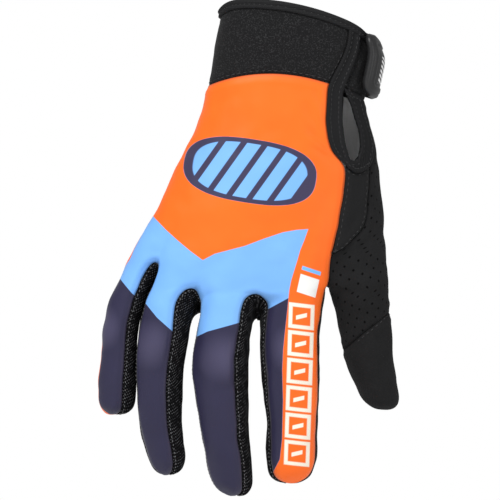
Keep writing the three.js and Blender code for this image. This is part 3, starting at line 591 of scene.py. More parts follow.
PAINTED_SHADE_BELOW, PAINTED_SEAM_SHADE = 92, 1.6
lining = Finish("lining", Roughness=0.95, Specular_IOR_Level=0.1)
down = lining.place()[2]
from_seam = lining.add("ShaderNodeAttribute", {"attribute_name": "rim"}, output=2) * 1000
fuzz = lining.noise(0.8)
pale = lining.blend(fuzz, (0.90, 0.90, 0.90), (0.96, 0.96, 0.96))
# Painted shade: the lining is painted near-black within 1.6 mm of its seams and more than 92 mm below the cuff.
clear_of_painted_shade = from_seam.over(PAINTED_SEAM_SHADE, 0.4) * (1 - down.over(PAINTED_SHADE_BELOW, 1))
lining.paint(Base_Color=lining.blend(clear_of_painted_shade, (0.010, 0.010, 0.010), pale))
lining.emboss(fuzz, 0.4, 0.2)


# The printed back: one panel of stretch cloth over the back of the hand and the fingers. The print is orange,
# with a light blue chevron over the knuckles, deep violet fingers and an orange strip down the index finger.
# The badge and the blocks on the strip are plain shapes in the print's own colours.
VIOLET, CREAM, WHITE, BLUE = (0.040, 0.034, 0.078), (0.86, 0.80, 0.68), (0.80, 0.80, 0.78), (0.17, 0.46, 0.90)
printed = Finish("printed_knit", Roughness=0.5, Specular_IOR_Level=0.27, Sheen_Weight=0.04, Sheen_Roughness=0.4)
across, deep, down = printed.place()
# Each border between two colours is a line of points in millimetres, drawn across or down the glove.
chevron_top = printed.graph(across, [(-81, 71.8), (-65.2, 93.6), (-59.8, 99.2), (-54.5, 104), (-48.5, 109),
                                     (-42.8, 113.2), (-37.3, 110.3), (-23.5, 106.7), (-14.8, 103.4), (-6.2, 100.5),
                                     (0, 99.4), (5.3, 99)])
violet_top = printed.graph(across, [(-92, 95.7), (-81, 121.8), (-75.2, 128.7), (-68.9, 133.3), (-63.7, 139.6),
                                    (-56.2, 146.3), (-46.5, 148.8), (-40.7, 145.9), (-25.2, 141.6), (-13.1, 135.8),
                                    (-3.3, 130.4)])
strip_edge = printed.graph(down, [(98.9, 5.5), (104, 3.7), (108.6, 1.8), (113.2, 0.5), (117.8, -0.9), (122.4, -2.3),
                                  (127, -3.2), (136.2, -4.1), (145.4, -5.1), (154.6, -6), (163.8, -6.4),
                                  (177.6, -6.0), (196, -6.4), (205.2, -7.4), (214.4, -12)])
side_depth = printed.graph(down, [(70, 0), (95, 2), (113, 2.6), (119, 8), (146, 9.6), (153, 8), (160, 8.4),
                                  (170, 10.6), (183, 14.4), (190, 15.5)])
side_limit = printed.graph(down, [(60, -25), (95, -50), (120, -66), (138, -76), (200, -76)])
left_of_strip = 1 - across.over(strip_edge, 0.3)
off_the_side = 1 - deep.over(side_depth, 0.3) * (1 - across.over(side_limit, 0.5))
panel_share = left_of_strip * off_the_side
cloud = printed.noise(26, 3)
warm = printed.blend(cloud, (0.90, 0.122, 0.006), (0.94, 0.155, 0.010))
cool = printed.blend(cloud, (0.160, 0.385, 0.80), (0.195, 0.44, 0.87))
dark = printed.blend(cloud, (0.016, 0.0145, 0.042), (0.026, 0.0235, 0.060))

# Pale patches over the finger joints, mostly painted sheen highlight and partly the print stretched paler there:
# across, down, half width and half height of each patch.
STRETCH_AND_SHEEN_PATCHES = [(-32.7, 158, 14, 13), (-67, 152, 11, 13), (-4, 154, 9, 12), (-88, 144, 8, 12)]
for x, z, wide, high in STRETCH_AND_SHEEN_PATCHES:
    far = ((across - x) / wide) ** 2.0 + ((down - z) / high) ** 2.0
    stretch_and_sheen = far.do("MAXIMUM", 1 - far, 0.0) ** 1.5
    # Painted highlight: the violet is blended towards a paler violet in each patch, in place of light's sheen on the
    # bent knit.
    dark = printed.blend(stretch_and_sheen * 0.62, dark, (0.075, 0.068, 0.130))
colour = printed.blend(down.over(chevron_top, 0.25) * panel_share, warm, cool)
colour = printed.blend(down.over(violet_top, 0.25) * panel_share, colour, dark)

# The badge: an oval band tilted down to the right, with slanting bars in it. It is printed on the flat cloth,
# so it runs on round the glove's side.
BADGE_ACROSS, BADGE_DOWN, BADGE_WIDE, BADGE_HIGH, BADGE_SQUARENESS = -21.2, 72.5, 30.5, 14.5, 2.6
BAR_PITCH, BAR_PHASE, HALF_GAP = 9.4, 100.2, 1.5
tilt = math.radians(9)
unrolled = across - deep.do("MAXIMUM", deep, 0.0) * 1.5
badge_x = (unrolled - BADGE_ACROSS) * math.cos(tilt) + (down - BADGE_DOWN) * math.sin(tilt)
badge_y = (down - BADGE_DOWN) * math.cos(tilt) - (unrolled - BADGE_ACROSS) * math.sin(tilt)
badge = (abs(badge_x) / BADGE_WIDE) ** BADGE_SQUARENESS + (abs(badge_y) / BADGE_HIGH) ** BADGE_SQUARENESS
oval = 1 - badge.over(1.0, 0.04)
colour = printed.blend(oval, colour, cool)
slanting = badge_x + badge_y * 0.5
bar = abs(slanting.do("PINGPONG", slanting + BAR_PHASE, BAR_PITCH) - BAR_PITCH / 2)
colour = printed.blend(oval * (1 - bar.over(HALF_GAP, 0.3)), colour, VIOLET)
colour = printed.blend(oval * badge.over(0.68, 0.04), colour, VIOLET)

# Down the index strip: a blue bar, a white block, and a row of cream blocks with a slanting dash in each.
BLOCKS_START, BLOCK_PITCH, BLOCK_COUNT = 132.6, 12.7, 6
strip_x = across - 2.7 + (down - 130) * 0.030
lean = down - strip_x * 0.12
in_block = (lean - BLOCKS_START).do("FLOORED_MODULO", lean - BLOCKS_START, BLOCK_PITCH) - BLOCK_PITCH / 2
block = strip_x.do("MAXIMUM", abs(strip_x) / 5.9, abs(in_block) / 5.8)
row_ends = lean.over(BLOCKS_START, 0.3) * (1 - lean.over(BLOCKS_START + BLOCK_COUNT * BLOCK_PITCH, 0.3))
line = (1 - block.over(1.0, 0.08)) * block.over(0.71, 0.08)
rung = (1 - abs(in_block + strip_x * 0.35).over(0.95, 0.3)) * (1 - abs(strip_x).over(2.5, 0.3))
colour = printed.blend(row_ends * line.do("MAXIMUM", line, rung), colour, CREAM)


def patch(middle, half_height):
    """A slanting block above the row, its middle this far down the strip."""
    tag = down - (across - 5.6) * 0.33 - middle
    edge = across - 5.4 + (down - 125) * 0.22
    return (1 - abs(edge).over(4.6, 0.3)) * (1 - abs(tag).over(half_height, 0.3))


colour = printed.blend(patch(125.0, 4.4), colour, WHITE)
colour = printed.blend(patch(117.6, 0.9), colour, BLUE)
rim = printed.add("ShaderNodeAttribute", {"attribute_name": "rim"}, output=2) * 1000
# Painted shade: the print is darkened towards near-black within about 1.4 mm of the panel's rim, along its seams.
rim_shade_and_rib_tone = (1 - rim.over(0.7, 1.4)) * 0.4
printed.paint(Base_Color=printed.blend(rim_shade_and_rib_tone, colour, (0.05, 0.04, 0.05)))
knit = (across + down).wave(0.95) * (across - down).wave(0.95)
printed.emboss(knit * 0.7 + printed.noise(0.5) * 0.3, 0.22, 0.12)


def inwards(edge):
    """The direction from a rim edge into its panel."""
    face = edge.link_faces[0]
    along = (edge.verts[1].co - edge.verts[0].co).normalized()
    middle = face.calc_center_median() - edge.verts[0].co
    return (middle - along * middle.dot(along)).normalized()


# Metres: how far a panel's edge stays inside its seam, and how deep it is sunk there.
SEAM_GAP, SEAM_SINK = 0.00016, 0.0006


def cut(name, gap=SEAM_GAP, sink=SEAM_SINK):
    """Cut a panel out of the skin along its seams, with its rim sunk where it is sewn, and round its form."""
    code = PANELS.index(name)
    panel = skin.copy()
    layer = panel.faces.layers.int["piece"]
    bmesh.ops.delete(panel, geom=[face for face in panel.faces if face[layer] != code], context="FACES")
    out = panel.verts.layers.float_vector["outward"]
    for vert in panel.verts:
        rim = [inwards(edge) for edge in vert.link_edges if edge.is_boundary]
        if rim:
            total = sum(rim, Vector())
            even = max(total.length / len(rim), 0.45)
            vert.co += total.normalized() * gap / even - Vector(vert[out]) * sink
    mesh = bpy.data.meshes.new(name)
    panel.to_mesh(mesh)
    panel.free()
    rough = bpy.data.objects.new(name + " rough", mesh)
    bpy.context.scene.collection.objects.link(rough)
    divide = rough.modifiers.new("round", "SUBSURF")
    divide.levels = divide.render_levels = 2
    divide.boundary_smooth = "PRESERVE_CORNERS"
    fine = bpy.data.meshes.new_from_object(rough.evaluated_get(bpy.context.evaluated_depsgraph_get()))
    bpy.data.objects.remove(rough)
    for polygon in fine.polygons:
        polygon.use_smooth = True
    piece = bpy.data.objects.new(name + "_sewn", fine)
    bpy.context.scene.collection.objects.link(piece)
    return piece


def rim_distance(piece):
    """How far each point of a panel is from its rim, kept on the panel for its finish."""
    form = bmesh.new()
    form.from_mesh(piece.data)
    rim = [vert.co.copy() for vert in form.verts if vert.is_boundary]
    form.free()
    near = KDTree(len(rim))
    for i, place in enumerate(rim):
        near.insert(place, i)
    near.balance()
    store = piece.data.attributes.new("rim", "FLOAT", "POINT")
    distances = [near.find(vert.co)[2] for vert in piece.data.vertices]
    store.data.foreach_set("value", distances)
    return distances


# Sewn cloth is a little uneven. The noise behind that is seeded, so that each run sews the same glove.
noise.seed_set(1)


def waver(place):
    """The small unevenness of sewn cloth, the same on both sides of a seam. The stiff cuff has none."""
    share = smooth((-34 - place.z) / 14)
    return noise.noise_vector(place / 7.5) * 0.42 * share + noise.noise_vector(place / 16) * 0.5 * share


def ease(piece, folds=(), mounds=()):
    """Lay soft folds and mounds in a panel, and let its cloth ripple a little and rise beside its seams.

    Folds are rows of across, up, turn, half length, width and rise; mounds of across, up, half width, half
    height and rise. Turns are in radians, the rest in millimetres."""
    distances = rim_distance(piece)
    mesh = piece.data
    normals = [Vector(vert.normal) for vert in mesh.vertices]
    for vert, near, normal in zip(mesh.vertices, distances, normals):
        place = vert.co * 1000
        away = smooth(near * 1000 / 3.5)
        move = 0.20 * noise.noise(place / 9) + 0.12 * noise.noise(place / 4.2 + Vector((7, 1, 3)))
        move += 0.35 * math.exp(-((near * 1000 - 3.2) / 1.6) ** 2)
        for x, z, turn, length, width, depth in folds:
            u = (place.x - x) * math.cos(turn) + (place.z - z) * math.sin(turn)
            v = (place.z - z) * math.cos(turn) - (place.x - x) * math.sin(turn)
            v += 0.6 * noise.noise(place / 5)
            if abs(u) < length and abs(v) < 3 * width:
                move += depth * math.exp(-(v / width) ** 2) * (1 - (u / length) ** 2)
        for x, z, wide, high, rise in mounds:
            far = ((place.x - x) / wide) ** 2 + ((place.z - z) / high) ** 2
            if far < 6:
                move += rise * math.exp(-far)
        vert.co += (normal * (move * away) + waver(place)) / 1000
    return piece


def give(piece, node, slot, thickness, *materials):
    """Give a panel its wall towards the hand and its cloths outside and inside, in the place of its solid."""
    for material in materials:
        piece.data.materials.append(material)
    wall = piece.modifiers.new("wall", "SOLIDIFY")
    wall.thickness = thickness
    wall.offset = -1
    wall.use_rim = True
    wall.material_offset = 1 if len(materials) > 1 else 0
    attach(piece, "root")
    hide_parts(node)


FINGER_CREASES = [(-66, -166, 0.1, 12, 2.2, -0.5), (-28, -172, 0.05, 12, 2.4, -0.5),
                  (-83, -158, 0.15, 9, 1.9, -0.4), (0, -172, -0.1, 12, 2.4, -0.45)]
KEYHOLE_FOLDS = [(11, -59, -0.75, 12, 1.7, -1.3), (15, -66, -0.55, 11, 1.6, -1.1), (9, -51, -1.0, 12, 1.7, -0.9),
                 (12, -62.5, -0.65, 12, 1.5, 0.6), (12, -43, -1.1, 10, 1.6, -0.7)]
HAND_FOLDS = [(-35, -41, 0.5, 12, 2.2, -0.5), (-47, -60, 0.9, 14, 2.4, -0.4), (-4, -106, -0.9, 16, 2.4, -0.35),
              (-50, -104, 0.5, 12, 2.6, -0.3), (-21, -96, 0.05, 26, 4.0, -0.4)]
FINGER_JOINTS = [(-63, -151, 7, 8, 1.7), (-32, -161, 7, 9, 2.0), (-87, -146, 5, 7, 1.1), (-2, -160, 7, 9, 1.2)]
KNUCKLES = [(-66, -112, 9, 10, 1.2), (-42, -120, 9, 9, 1.3), (-16, -122, 9, 9, 1.2), (3, -118, 8, 9, 0.9)]
back = ease(cut("back_panel"), FINGER_CREASES + KEYHOLE_FOLDS + HAND_FOLDS, FINGER_JOINTS + KNUCKLES)
give(back, "back_panel", "printed_knit", 0.0011, printed.material, lining.material)


# The palm: one panel of thin synthetic suede from the wrist to the fingertips, with rows of small air holes
# punched through its middle. It is sewn to the back panel along the outer side and to the gussets elsewhere.
def pierce(x, y, pitch, turn, radius):
    """Round holes on a square lattice: 1 in a hole."""
    a = x * (math.cos(turn) / pitch) + y * (math.sin(turn) / pitch)
    b = y * (math.cos(turn) / pitch) - x * (math.sin(turn) / pitch)
    a = a.do("FLOORED_MODULO", a, 1.0) - 0.5
    b = b.do("FLOORED_MODULO", b, 1.0) - 0.5
    far = a.do("SQRT", a * a + b * b) * pitch
    return 1 - far.over(radius, 0.25)


def suede_finish(name, holes=None):
    suede = Finish(name, Roughness=0.93, Specular_IOR_Level=0.06, Sheen_Weight=0.03, Sheen_Roughness=0.5)
    nap, brushed = suede.noise(0.7, 3), suede.noise(9, 3)
    base = suede.blend(nap * 0.5 + brushed * 0.5, (0.006, 0.006, 0.006), (0.020, 0.020, 0.021))
    relief = nap
    if holes:
        hole = holes(suede)
        base = suede.blend(hole, base, (0.001, 0.001, 0.001))
        relief = nap * 0.35 * (1 - hole) + (1 - hole) * 0.65
    # Painted shade: the suede is darkened towards its seams, within about 1 mm of its rim.
    edge = suede.add("ShaderNodeAttribute", {"attribute_name": "rim"}, output=2) * 1000
    base = suede.blend((1 - edge.over(0.7, 1.2)) * 0.5, base, (0.002, 0.002, 0.002))
    suede.paint(Base_Color=base)
    suede.emboss(relief, 0.55, 0.35)
    return suede.material


HOLE_PITCH = 4.6
HOLES_ACROSS, HOLES_DOWN, HOLES_REACH = -22, 96, 34


def palm_holes(finish):
    x, _, z = finish.place()
    middle = ((x - HOLES_ACROSS) / HOLES_REACH) ** 2.0 + ((z - HOLES_DOWN) / HOLES_REACH) ** 2.0
    return pierce(x, z, HOLE_PITCH, 0.6, 0.5) * (1 - middle.over(1.0, 0.1))


SUEDE_WALL = 0.001
PALM_CREASES = [
    (-22, -112, 0.35, 30, 2.6, -0.8), (-30, -92, 0.1, 26, 2.4, -0.6), (10, -88, 1.1, 24, 2.6, -0.7),
    (-60, -165, 0.0, 12, 2.0, -0.6), (-32, -170, 0.0, 12, 2.0, -0.6), (0, -165, 0.0, 12, 2.0, -0.6),
]
give(ease(cut("palm_panel"), PALM_CREASES), "palm_panel", "suede", SUEDE_WALL,
     suede_finish("suede", palm_holes), lining.material)


# The gussets between the fingers: strips of ribbed stretch knit, one for each web. Each is sewn between the
# back and the palm down one finger, over the web and down the next, and shows a coarse, pale-flecked mesh.
ribbed = Finish("ribbed_knit", Roughness=0.9, Specular_IOR_Level=0.03)
sideways, downwards = ribbed.flat_place()
rib = (downwards + sideways * 0.5).wave(1.4)
cell = (sideways - downwards * 0.6).wave(1.2)
fleck = (rib * cell).over(0.60, 0.2) * ribbed.noise(2.4, 1).over(0.48, 0.12)
relief = rib * 0.6 + cell * 0.4
yarn = ribbed.blend(relief, (0.001, 0.001, 0.001), (0.010, 0.010, 0.011))
ribbed.paint(Base_Color=ribbed.blend(fleck, yarn, (0.085, 0.085, 0.09)))
ribbed.emboss(relief, 0.5, 0.3)
for web in WEBS[:3]:
    name = f"fourchette_{web['name']}"
    give(ease(cut(name)), name, "ribbed_knit", 0.0009, ribbed.material)


# The thumb gusset: a small pointed piece of smooth stretch knit, sewn between the back panel, the keyhole's
# tape and the thumb, where the cloth has to give.
smooth_knit = Finish("smooth_knit", Roughness=0.75, Specular_IOR_Level=0.15, Sheen_Weight=0.04, Sheen_Roughness=0.4)
loops = smooth_knit.noise(0.6)
smooth_knit.paint(Base_Color=smooth_knit.blend(loops, (0.005, 0.005, 0.005), (0.012, 0.012, 0.013)))
smooth_knit.emboss(loops, 0.3, 0.15)
thumb_gusset = ease(cut("thumb_gusset"), [(30, -92, 0.8, 16, 2.6, -0.5)])
give(thumb_gusset, "thumb_gusset", "smooth_knit", 0.0011, smooth_knit.material, lining.material)


# The thumb: a pierced suede panel round the thumb's root and side, and a plain suede tip. The tip is sewn on
# with a slanting seam and laps over the panel's edge.
def thumb_holes(finish):
    sideways, downwards = finish.flat_place()
    return pierce(sideways, downwards, HOLE_PITCH, math.radians(23), 0.55)


thumb_panel = ease(cut("thumb_panel"), [(34, -118, 0.4, 14, 2.2, -0.4), (36, -104, 0.5, 14, 2.2, -0.4)])
give(thumb_panel, "thumb_panel", "perforated_suede", SUEDE_WALL,
     suede_finish("pierced_suede", thumb_holes), lining.material)
TIP_LAP, LAPPED_SINK = 0.0004, 0.0009
tip = ease(cut("thumb_tip", -TIP_LAP, LAPPED_SINK), [(41, -160, 0.5, 8, 1.1, -0.35), (40, -166, 0.3, 8, 1.1, -0.35),
                                                    (43, -171, 0.1, 7, 1.0, -0.3)])
give(tip, "thumb_tip", "suede", SUEDE_WALL, suede_finish("tip_suede"), lining.material)


# The cuff: two pieces of thick, black, foam-backed cloth round the wrist, one on the back and one on the palm
# side. They are sewn to each other on the outer side and to the hand with an arched seam.
foam = Finish("neoprene", Roughness=0.88, Specular_IOR_Level=0.12, Sheen_Weight=0.04, Sheen_Roughness=0.5)
speck = foam.noise(0.55, 1)
foam.paint(Base_Color=foam.blend(speck.over(0.60, 0.15), (0.007, 0.007, 0.0075), (0.024, 0.024, 0.025)))
foam.emboss(speck, 0.35, 0.15)
CUFF_LAP = 0.0003
for name in ("cuff_back", "cuff_palm"):
    give(ease(cut(name, -CUFF_LAP, LAPPED_SINK)), name, "neoprene", 0.0024, foam.material)


# The binding: a woven tape round the keyhole slit and up the cuff's free edge, sewn on over the edges of the
# cuff and the panels beside it. Its own edge is rolled, with a shallow groove where it is sewn.
tape = Finish("tape", Roughness=0.8, Specular_IOR_Level=0.15)
sideways, downwards = tape.flat_place()
twill = (sideways + downwards).wave(0.9)
tape.paint(Base_Color=tape.blend(twill, (0.004, 0.004, 0.0045), (0.015, 0.015, 0.016)))
tape.emboss(twill, 0.4, 0.15)
BINDING_LAP, BINDING_STAND = 0.0005, 0.0004
ROLL, GROOVE = (0.40, 1.3, 0.7), (-0.30, 2.6, 0.6)  # rise, distance from the rim and width, in mm
binding = cut("keyhole_binding", -BINDING_LAP, -BINDING_STAND)
distances = rim_distance(binding)
normals = [Vector(vert.normal) for vert in binding.data.vertices]
for vert, near, normal in zip(binding.data.vertices, distances, normals):
    rolled = sum(rise * math.exp(-((near * 1000 - middle) / width) ** 2) for rise, middle, width in (ROLL, GROOVE))
    vert.co += (normal * rolled + waver(vert.co * 1000)) / 1000
give(binding, "keyhole_binding", "tape", 0.0015, tape.material)


# The hem: a woven tape folded over the cuff's upper edge, all the way round. Its outer face is drawn in by a
# line of stitches, so it shows two rolls with a groove between them.
def finished(name, form, finish, node=None, bevel=0.0):
    """A piece from its form, in its finish, riding on the glove, in the place of a solid if it has one."""
    mesh = bpy.data.meshes.new(name)
    form.to_mesh(mesh)
    form.free()
    for polygon in mesh.polygons:
        polygon.use_smooth = True
    piece = bpy.data.objects.new(name, mesh)
    bpy.context.scene.collection.objects.link(piece)
    piece.data.materials.append(finish.material)
    if bevel:
        edge = piece.modifiers.new("edge", "BEVEL")
        edge.width, edge.segments, edge.limit_method, edge.angle_limit = bevel, 3, "ANGLE", math.radians(50)
    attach(piece, "root")
    if node:
        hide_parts(node)
    return piece


hem_tape = Finish("hem_tape", Roughness=0.8, Specular_IOR_Level=0.15)
rib = hem_tape.place()[2].wave(0.8)
rim_shade_and_rib_tone = rib * 0.5 + hem_tape.noise(0.7) * 0.5
hem_tape.paint(Base_Color=hem_tape.blend(rim_shade_and_rib_tone, (0.005, 0.005, 0.0055), (0.018, 0.018, 0.019)))
hem_tape.emboss(rib, 0.3, 0.12)


def cuff_place(angle, t, lift):
    """A point that stands out from the cuff, t down from its edge to its foot."""
    row = cuff_row(t)
    point = hand_point(angle, row)
    along = hand_point(angle + 2, row) - hand_point(angle - 2, row)
    return point + Vector((along.y, -along.x, 0)).normalized() * lift


# The tape's section: out from the cuff and above its edge, from the outer foot over the edge to the inner foot.
HEM_PROFILE = [(-0.5, -2.9), (0.3, -2.85), (0.8, -2.5), (1.05, -1.9), (0.95, -1.35), (0.5, -0.95), (0.95, -0.55),
               (1.25, 0.1), (1.2, 0.8), (0.75, 1.35), (0, 1.6), (-1.2, 1.6), (-2.4, 1.4), (-3.0, 0.8), (-3.15, -0.4),
               (-3.1, -2.0), (-2.9, -2.6), (-2.5, -2.8)]
form = bmesh.new()
PROFILE_STEPS = len(HEM_PROFILE) - 1
for vert in bmesh.ops.create_grid(form, x_segments=180, y_segments=PROFILE_STEPS, size=1)["verts"]:
    lift, above = HEM_PROFILE[round((vert.co.y + 1) / 2 * PROFILE_STEPS)]
    vert.co = (cuff_place(vert.co.x * 180, 0, lift) + Vector((0, 0, above))) / 1000
bmesh.ops.remove_doubles(form, verts=form.verts, dist=1e-6)
hem = finished("cuff_hem_tape", form, hem_tape, "cuff_hem")
fold = hem.modifiers.new("fold", "SOLIDIFY")
fold.thickness, fold.offset = 0.0004, -1
soft = hem.modifiers.new("soft", "SUBSURF")
soft.levels = soft.render_levels = 1


# The closure: a strap of loop cloth laid over the cuff's side and sewn to its palm half, and a moulded rubber
# tab on top of it, with rounded corners, a raised frame and a plain white mark.
def merged(node):
    """The solid of a CAD node as one joined mesh of four-sided faces."""
    form = bmesh.new()
    form.from_mesh(node.data)
    bmesh.ops.remove_doubles(form, verts=form.verts, dist=1e-5)
    bmesh.ops.join_triangles(form, faces=form.faces, angle_face_threshold=math.radians(35),
                             angle_shape_threshold=math.radians(50))
    return form


loop_cloth = Finish("webbing", Roughness=0.95, Specular_IOR_Level=0.1)
pile = loop_cloth.noise(0.6, 3)
loop_cloth.paint(Base_Color=loop_cloth.blend(pile, (0.008, 0.008, 0.008), (0.032, 0.032, 0.034)))
loop_cloth.emboss(pile, 0.8, 0.4)
finished("closure_strap_cloth", merged(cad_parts["closure_strap"]), loop_cloth,
         "closure_strap", 0.0003)

rubber = Finish("moulded_rubber", Roughness=0.42, Specular_IOR_Level=0.35)
grain = rubber.noise(0.7, 2)
rubber.emboss(grain, 0.12, 0.1)
sideways, downwards = rubber.flat_place()
MARK_PITCH, MARK_ALONG, MARK_DOWN, MARK_WIDE, MARK_HIGH = 2.4, -14.6, -2, 3.4, 7
bars = abs(downwards.do("PINGPONG", downwards + sideways * 0.3 + 40, MARK_PITCH) - MARK_PITCH / 2)
in_mark = ((1 - abs(sideways - MARK_ALONG).over(MARK_WIDE, 0.2))
           * (1 - abs(downwards - MARK_DOWN).over(MARK_HIGH, 0.2)))
black = rubber.blend(grain, (0.010, 0.010, 0.0105), (0.017, 0.017, 0.018))
rubber.paint(Base_Color=rubber.blend((1 - bars.over(0.65, 0.2)) * in_mark, black, (0.78, 0.78, 0.78)))

# The tab lies along the cuff from one angle to the other, so places on it go by the length round the cuff.
TAB_FROM, TAB_TO = 58, 154
steps = list(range(TAB_FROM, TAB_TO + 1))
lengths = [0.0]
for first, second in zip(steps, steps[1:]):
    lengths.append(lengths[-1] + (cuff_place(second, 0.45, 4) - cuff_place(first, 0.45, 4)).length)
TAB_LENGTH, TAB_HEIGHT, TAB_CORNER = lengths[-1], 31.5, 7
TAB_RISE, TAB_EDGE, FRAME_RISE, FIELD_SINK = 2.2, 1.3, 0.45, 0.65


def tab_angle(x):
    """The cuff's angle under a point x along the tab, by the length round the cuff."""
    i = min(max(bisect.bisect_right(lengths, x + TAB_LENGTH / 2) - 1, 0), len(lengths) - 2)
    return steps[i] + (x + TAB_LENGTH / 2 - lengths[i]) / (lengths[i + 1] - lengths[i])


form = bmesh.new()
plan = form.loops.layers.uv.new("flat")
corners = bmesh.ops.create_grid(form, x_segments=100, y_segments=60, size=1)["verts"]
for vert in corners:
    x, y = vert.co.x * TAB_LENGTH / 2, vert.co.y * TAB_HEIGHT / 2
    past = Vector((max(abs(x) - TAB_LENGTH / 2 + TAB_CORNER, 0), max(abs(y) - TAB_HEIGHT / 2 + TAB_CORNER, 0)))
    if past.length:
        shorter = past - past * (max(past) / past.length)
        x, y = x - math.copysign(shorter.x, x), y - math.copysign(shorter.y, y)
        edge = TAB_CORNER - max(past)
    else:
        edge = min(TAB_LENGTH / 2 - abs(x), TAB_HEIGHT / 2 - abs(y))
    rise = TAB_RISE * math.sqrt(max(1 - (1 - min(edge / TAB_EDGE, 1)) ** 2, 0))
    rise += FRAME_RISE * smooth((edge - 1.8) / 0.9) - FIELD_SINK * smooth((edge - 4.2) / 0.8)
    vert.co = (x, y, rise)
for face in form.faces:
    for loop in face.loops:
        loop[plan].uv = loop.vert.co.xy
for vert in corners:
    x, y, rise = vert.co
    vert.co = cuff_place(tab_angle(x), 0.473 - y / 32.6, 2.9 + rise) / 1000
bmesh.ops.reverse_faces(form, faces=form.faces)
tab = finished("closure_tab_rubber", form, rubber, "closure_tab")
shell = tab.modifiers.new("shell", "SOLIDIFY")
shell.thickness, shell.offset = 0.0006, -1


# The stitches: short threads of their own, each lying on the cloth beside a seam. They are pale along the
# finger gussets, and dark on the thumb, the cuff and the tapes.
def rim_lines(piece):
    """The rim of a panel as closed lines of points, each with the direction into the panel."""
    form = bmesh.new()
    form.from_mesh(piece.data)
    left = dict.fromkeys(edge for edge in form.edges if edge.is_boundary)
    lines = []
    while left:
        edge = next(iter(left))
        left.pop(edge)
        start, vert = edge.verts
        line = [(start.co.copy(), inwards(edge)), (vert.co.copy(), inwards(edge))]
        while vert != start:
            edge = next((e for e in vert.link_edges if e in left), None)
            if edge is None:
                break
            left.pop(edge)
            vert = edge.other_vert(vert)
            line.append((vert.co.copy(), inwards(edge)))
        lines.append(line)
    form.free()
    return lines


def sew(name, piece, thread, inset, pitch, length, where, thick=0.00022):
    """Stitches along a panel's rim, an inset from it, wherever a place on it asks for them."""
    mesh = piece.data
    ground = BVHTree.FromPolygons([vert.co for vert in mesh.vertices], [p.vertices for p in mesh.polygons])
    seam = bmesh.new()
    for line in rim_lines(piece):
        run, due = 0, pitch / 2
        for (a, inward), (b, _) in zip(line, line[1:]):
            step = (b - a).length
            while step and run + step > due:
                place = a.lerp(b, (due - run) / step)
                due += pitch
                if not where(place * 1000):
                    continue
                spot, normal, _, _ = ground.find_nearest(place + inward * inset)
                along = (b - a).normalized()
                along = (along - normal * along.dot(normal)).normalized()
                made = bmesh.ops.create_uvsphere(seam, u_segments=6, v_segments=4, radius=1)["verts"]
                side = normal.cross(along)
                for vert in made:
                    x, y, z = vert.co
                    above = z * thick * 0.8 + thick * 0.3
                    vert.co = spot + along * (x * length / 2) + side * (y * thick) + normal * above
            run += step
    return finished(name, seam, thread)


def thread_finish(name, low, high, **fixed):
    thread = Finish(name, **fixed)
    thread.paint(Base_Color=thread.blend(thread.noise(0.3), low, high))
    return thread


pale_thread = thread_finish("pale_thread", (0.10, 0.10, 0.105), (0.24, 0.24, 0.25), Roughness=0.6)
dark_thread = thread_finish("dark_thread", (0.026, 0.026, 0.026), (0.052, 0.052, 0.054), Roughness=0.8,
                            Specular_IOR_Level=0.1)
for web in WEBS[:3]:
    panel = bpy.data.objects[f"fourchette_{web['name']}_sewn"]
    sew(f"stitches_{web['name']}", panel, pale_thread, 0.0011, 0.0020, 0.0009, lambda p: True, 0.00018)
sew("stitches_thumb_tip", tip, dark_thread, 0.0016, 0.0028, 0.0017, lambda p: p.z > -150)
sew("stitches_keyhole", binding, dark_thread, 0.0023, 0.0022, 0.0015, lambda p: True)
sew("stitches_cuff", bpy.data.objects["cuff_back_sewn"], dark_thread, 0.0016, 0.0028, 0.0019, lambda p: p.z < -20)
sew("stitches_gusset", thumb_gusset, dark_thread, 0.0014, 0.0028, 0.0017, lambda p: True)

# The hem's line of stitches lies in its groove.
HEM_STITCHES = 76
GROOVE_LIFT, GROOVE_ABOVE = 0.65, -0.95
seam = bmesh.new()
for i in range(HEM_STITCHES):
    places = [cuff_place(i * 360 / HEM_STITCHES + turn, 0, GROOVE_LIFT) + Vector((0, 0, GROOVE_ABOVE))
              for turn in (-0.5, 0, 0.5)]
    along = (places[2] - places[0]).normalized()
    side = Vector((along.y, -along.x, 0)).normalized().cross(along)
    for vert in bmesh.ops.create_uvsphere(seam, u_segments=6, v_segments=4, radius=1)["verts"]:
        x, y, z = vert.co
        vert.co = (places[1] + along * x * 0.6 + side * y * 0.2 + side.cross(along) * z * 0.2) / 1000
finished("stitches_hem", seam, dark_thread)
skin.free()


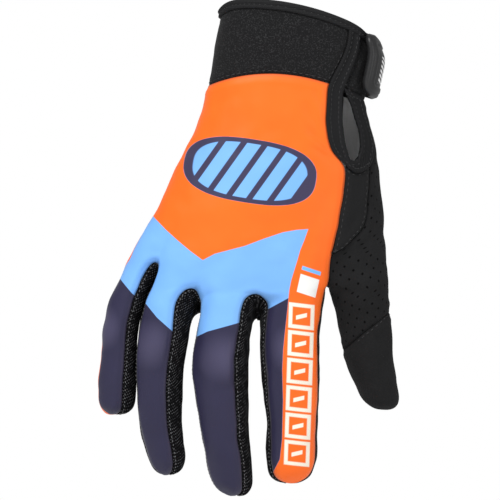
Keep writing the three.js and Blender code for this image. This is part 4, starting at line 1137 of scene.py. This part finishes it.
# The stage: a pale floor well below the glove, two round soft lights, and a long lens that looks straight at
# the back of the glove. The sky is white to the camera, but lights the glove with half of that.
FLOOR_HEIGHT, FLOOR_HALF = -0.26, 0.6
ground = bmesh.new()
bmesh.ops.create_grid(ground, x_segments=1, y_segments=1, size=FLOOR_HALF)
for vert in ground.verts:
    vert.co.z = FLOOR_HEIGHT
mesh = bpy.data.meshes.new("floor")
ground.to_mesh(mesh)
ground.free()
floor = bpy.data.objects.new("floor", mesh)
bpy.context.scene.collection.objects.link(floor)
floor_finish = Finish("pale_floor", Roughness=0.9)
floor_finish.paint(Base_Color=(0.93, 0.93, 0.93))
floor.data.materials.append(floor_finish.material)

SKY_LIGHT, SKY_SEEN = 0.50, 1.0
world = bpy.data.worlds.new("studio")
world.use_nodes = True
sky = world.node_tree.nodes["Background"]
sky.inputs["Color"].default_value = (1, 1, 1, 1)
ray = world.node_tree.nodes.new("ShaderNodeLightPath")
level = world.node_tree.nodes.new("ShaderNodeMapRange")
level.inputs["To Min"].default_value, level.inputs["To Max"].default_value = SKY_LIGHT, SKY_SEEN
world.node_tree.links.new(ray.outputs["Is Camera Ray"], level.inputs["Value"])
world.node_tree.links.new(level.outputs["Result"], sky.inputs["Strength"])
bpy.context.scene.world = world
bpy.context.scene.view_settings.view_transform = "Standard"


def softbox(name, place, aim, size, watts):
    light = bpy.data.lights.new(name, "AREA")
    light.shape, light.size, light.energy = "DISK", size, watts
    lamp = bpy.data.objects.new(name, light)
    lamp.location = place
    lamp.rotation_euler = (Vector(aim) - Vector(place)).to_track_quat("-Z", "Y").to_euler()
    bpy.context.scene.collection.objects.link(lamp)


GLOVE_MIDDLE = (-0.02, 0, -0.11)
softbox("key", (-0.35, -0.8, 0.62), GLOVE_MIDDLE, 0.45, 11)
softbox("fill", (0.8, -0.7, 0.0), GLOVE_MIDDLE, 0.6, 2.5)

# The picture is 0.230 m wide at the glove.
LENS, FILM, PICTURE_WIDTH = 350, 36, 0.230
lens = bpy.data.cameras.new("camera")
lens.lens, lens.sensor_width = LENS, FILM
lens.clip_end = 20
camera = bpy.data.objects.new("camera", lens)
camera.location = (-0.02116, -PICTURE_WIDTH * LENS / FILM, -0.10856)
camera.rotation_euler = (math.radians(90), 0, 0)
bpy.context.scene.collection.objects.link(camera)
bpy.context.scene.camera = camera
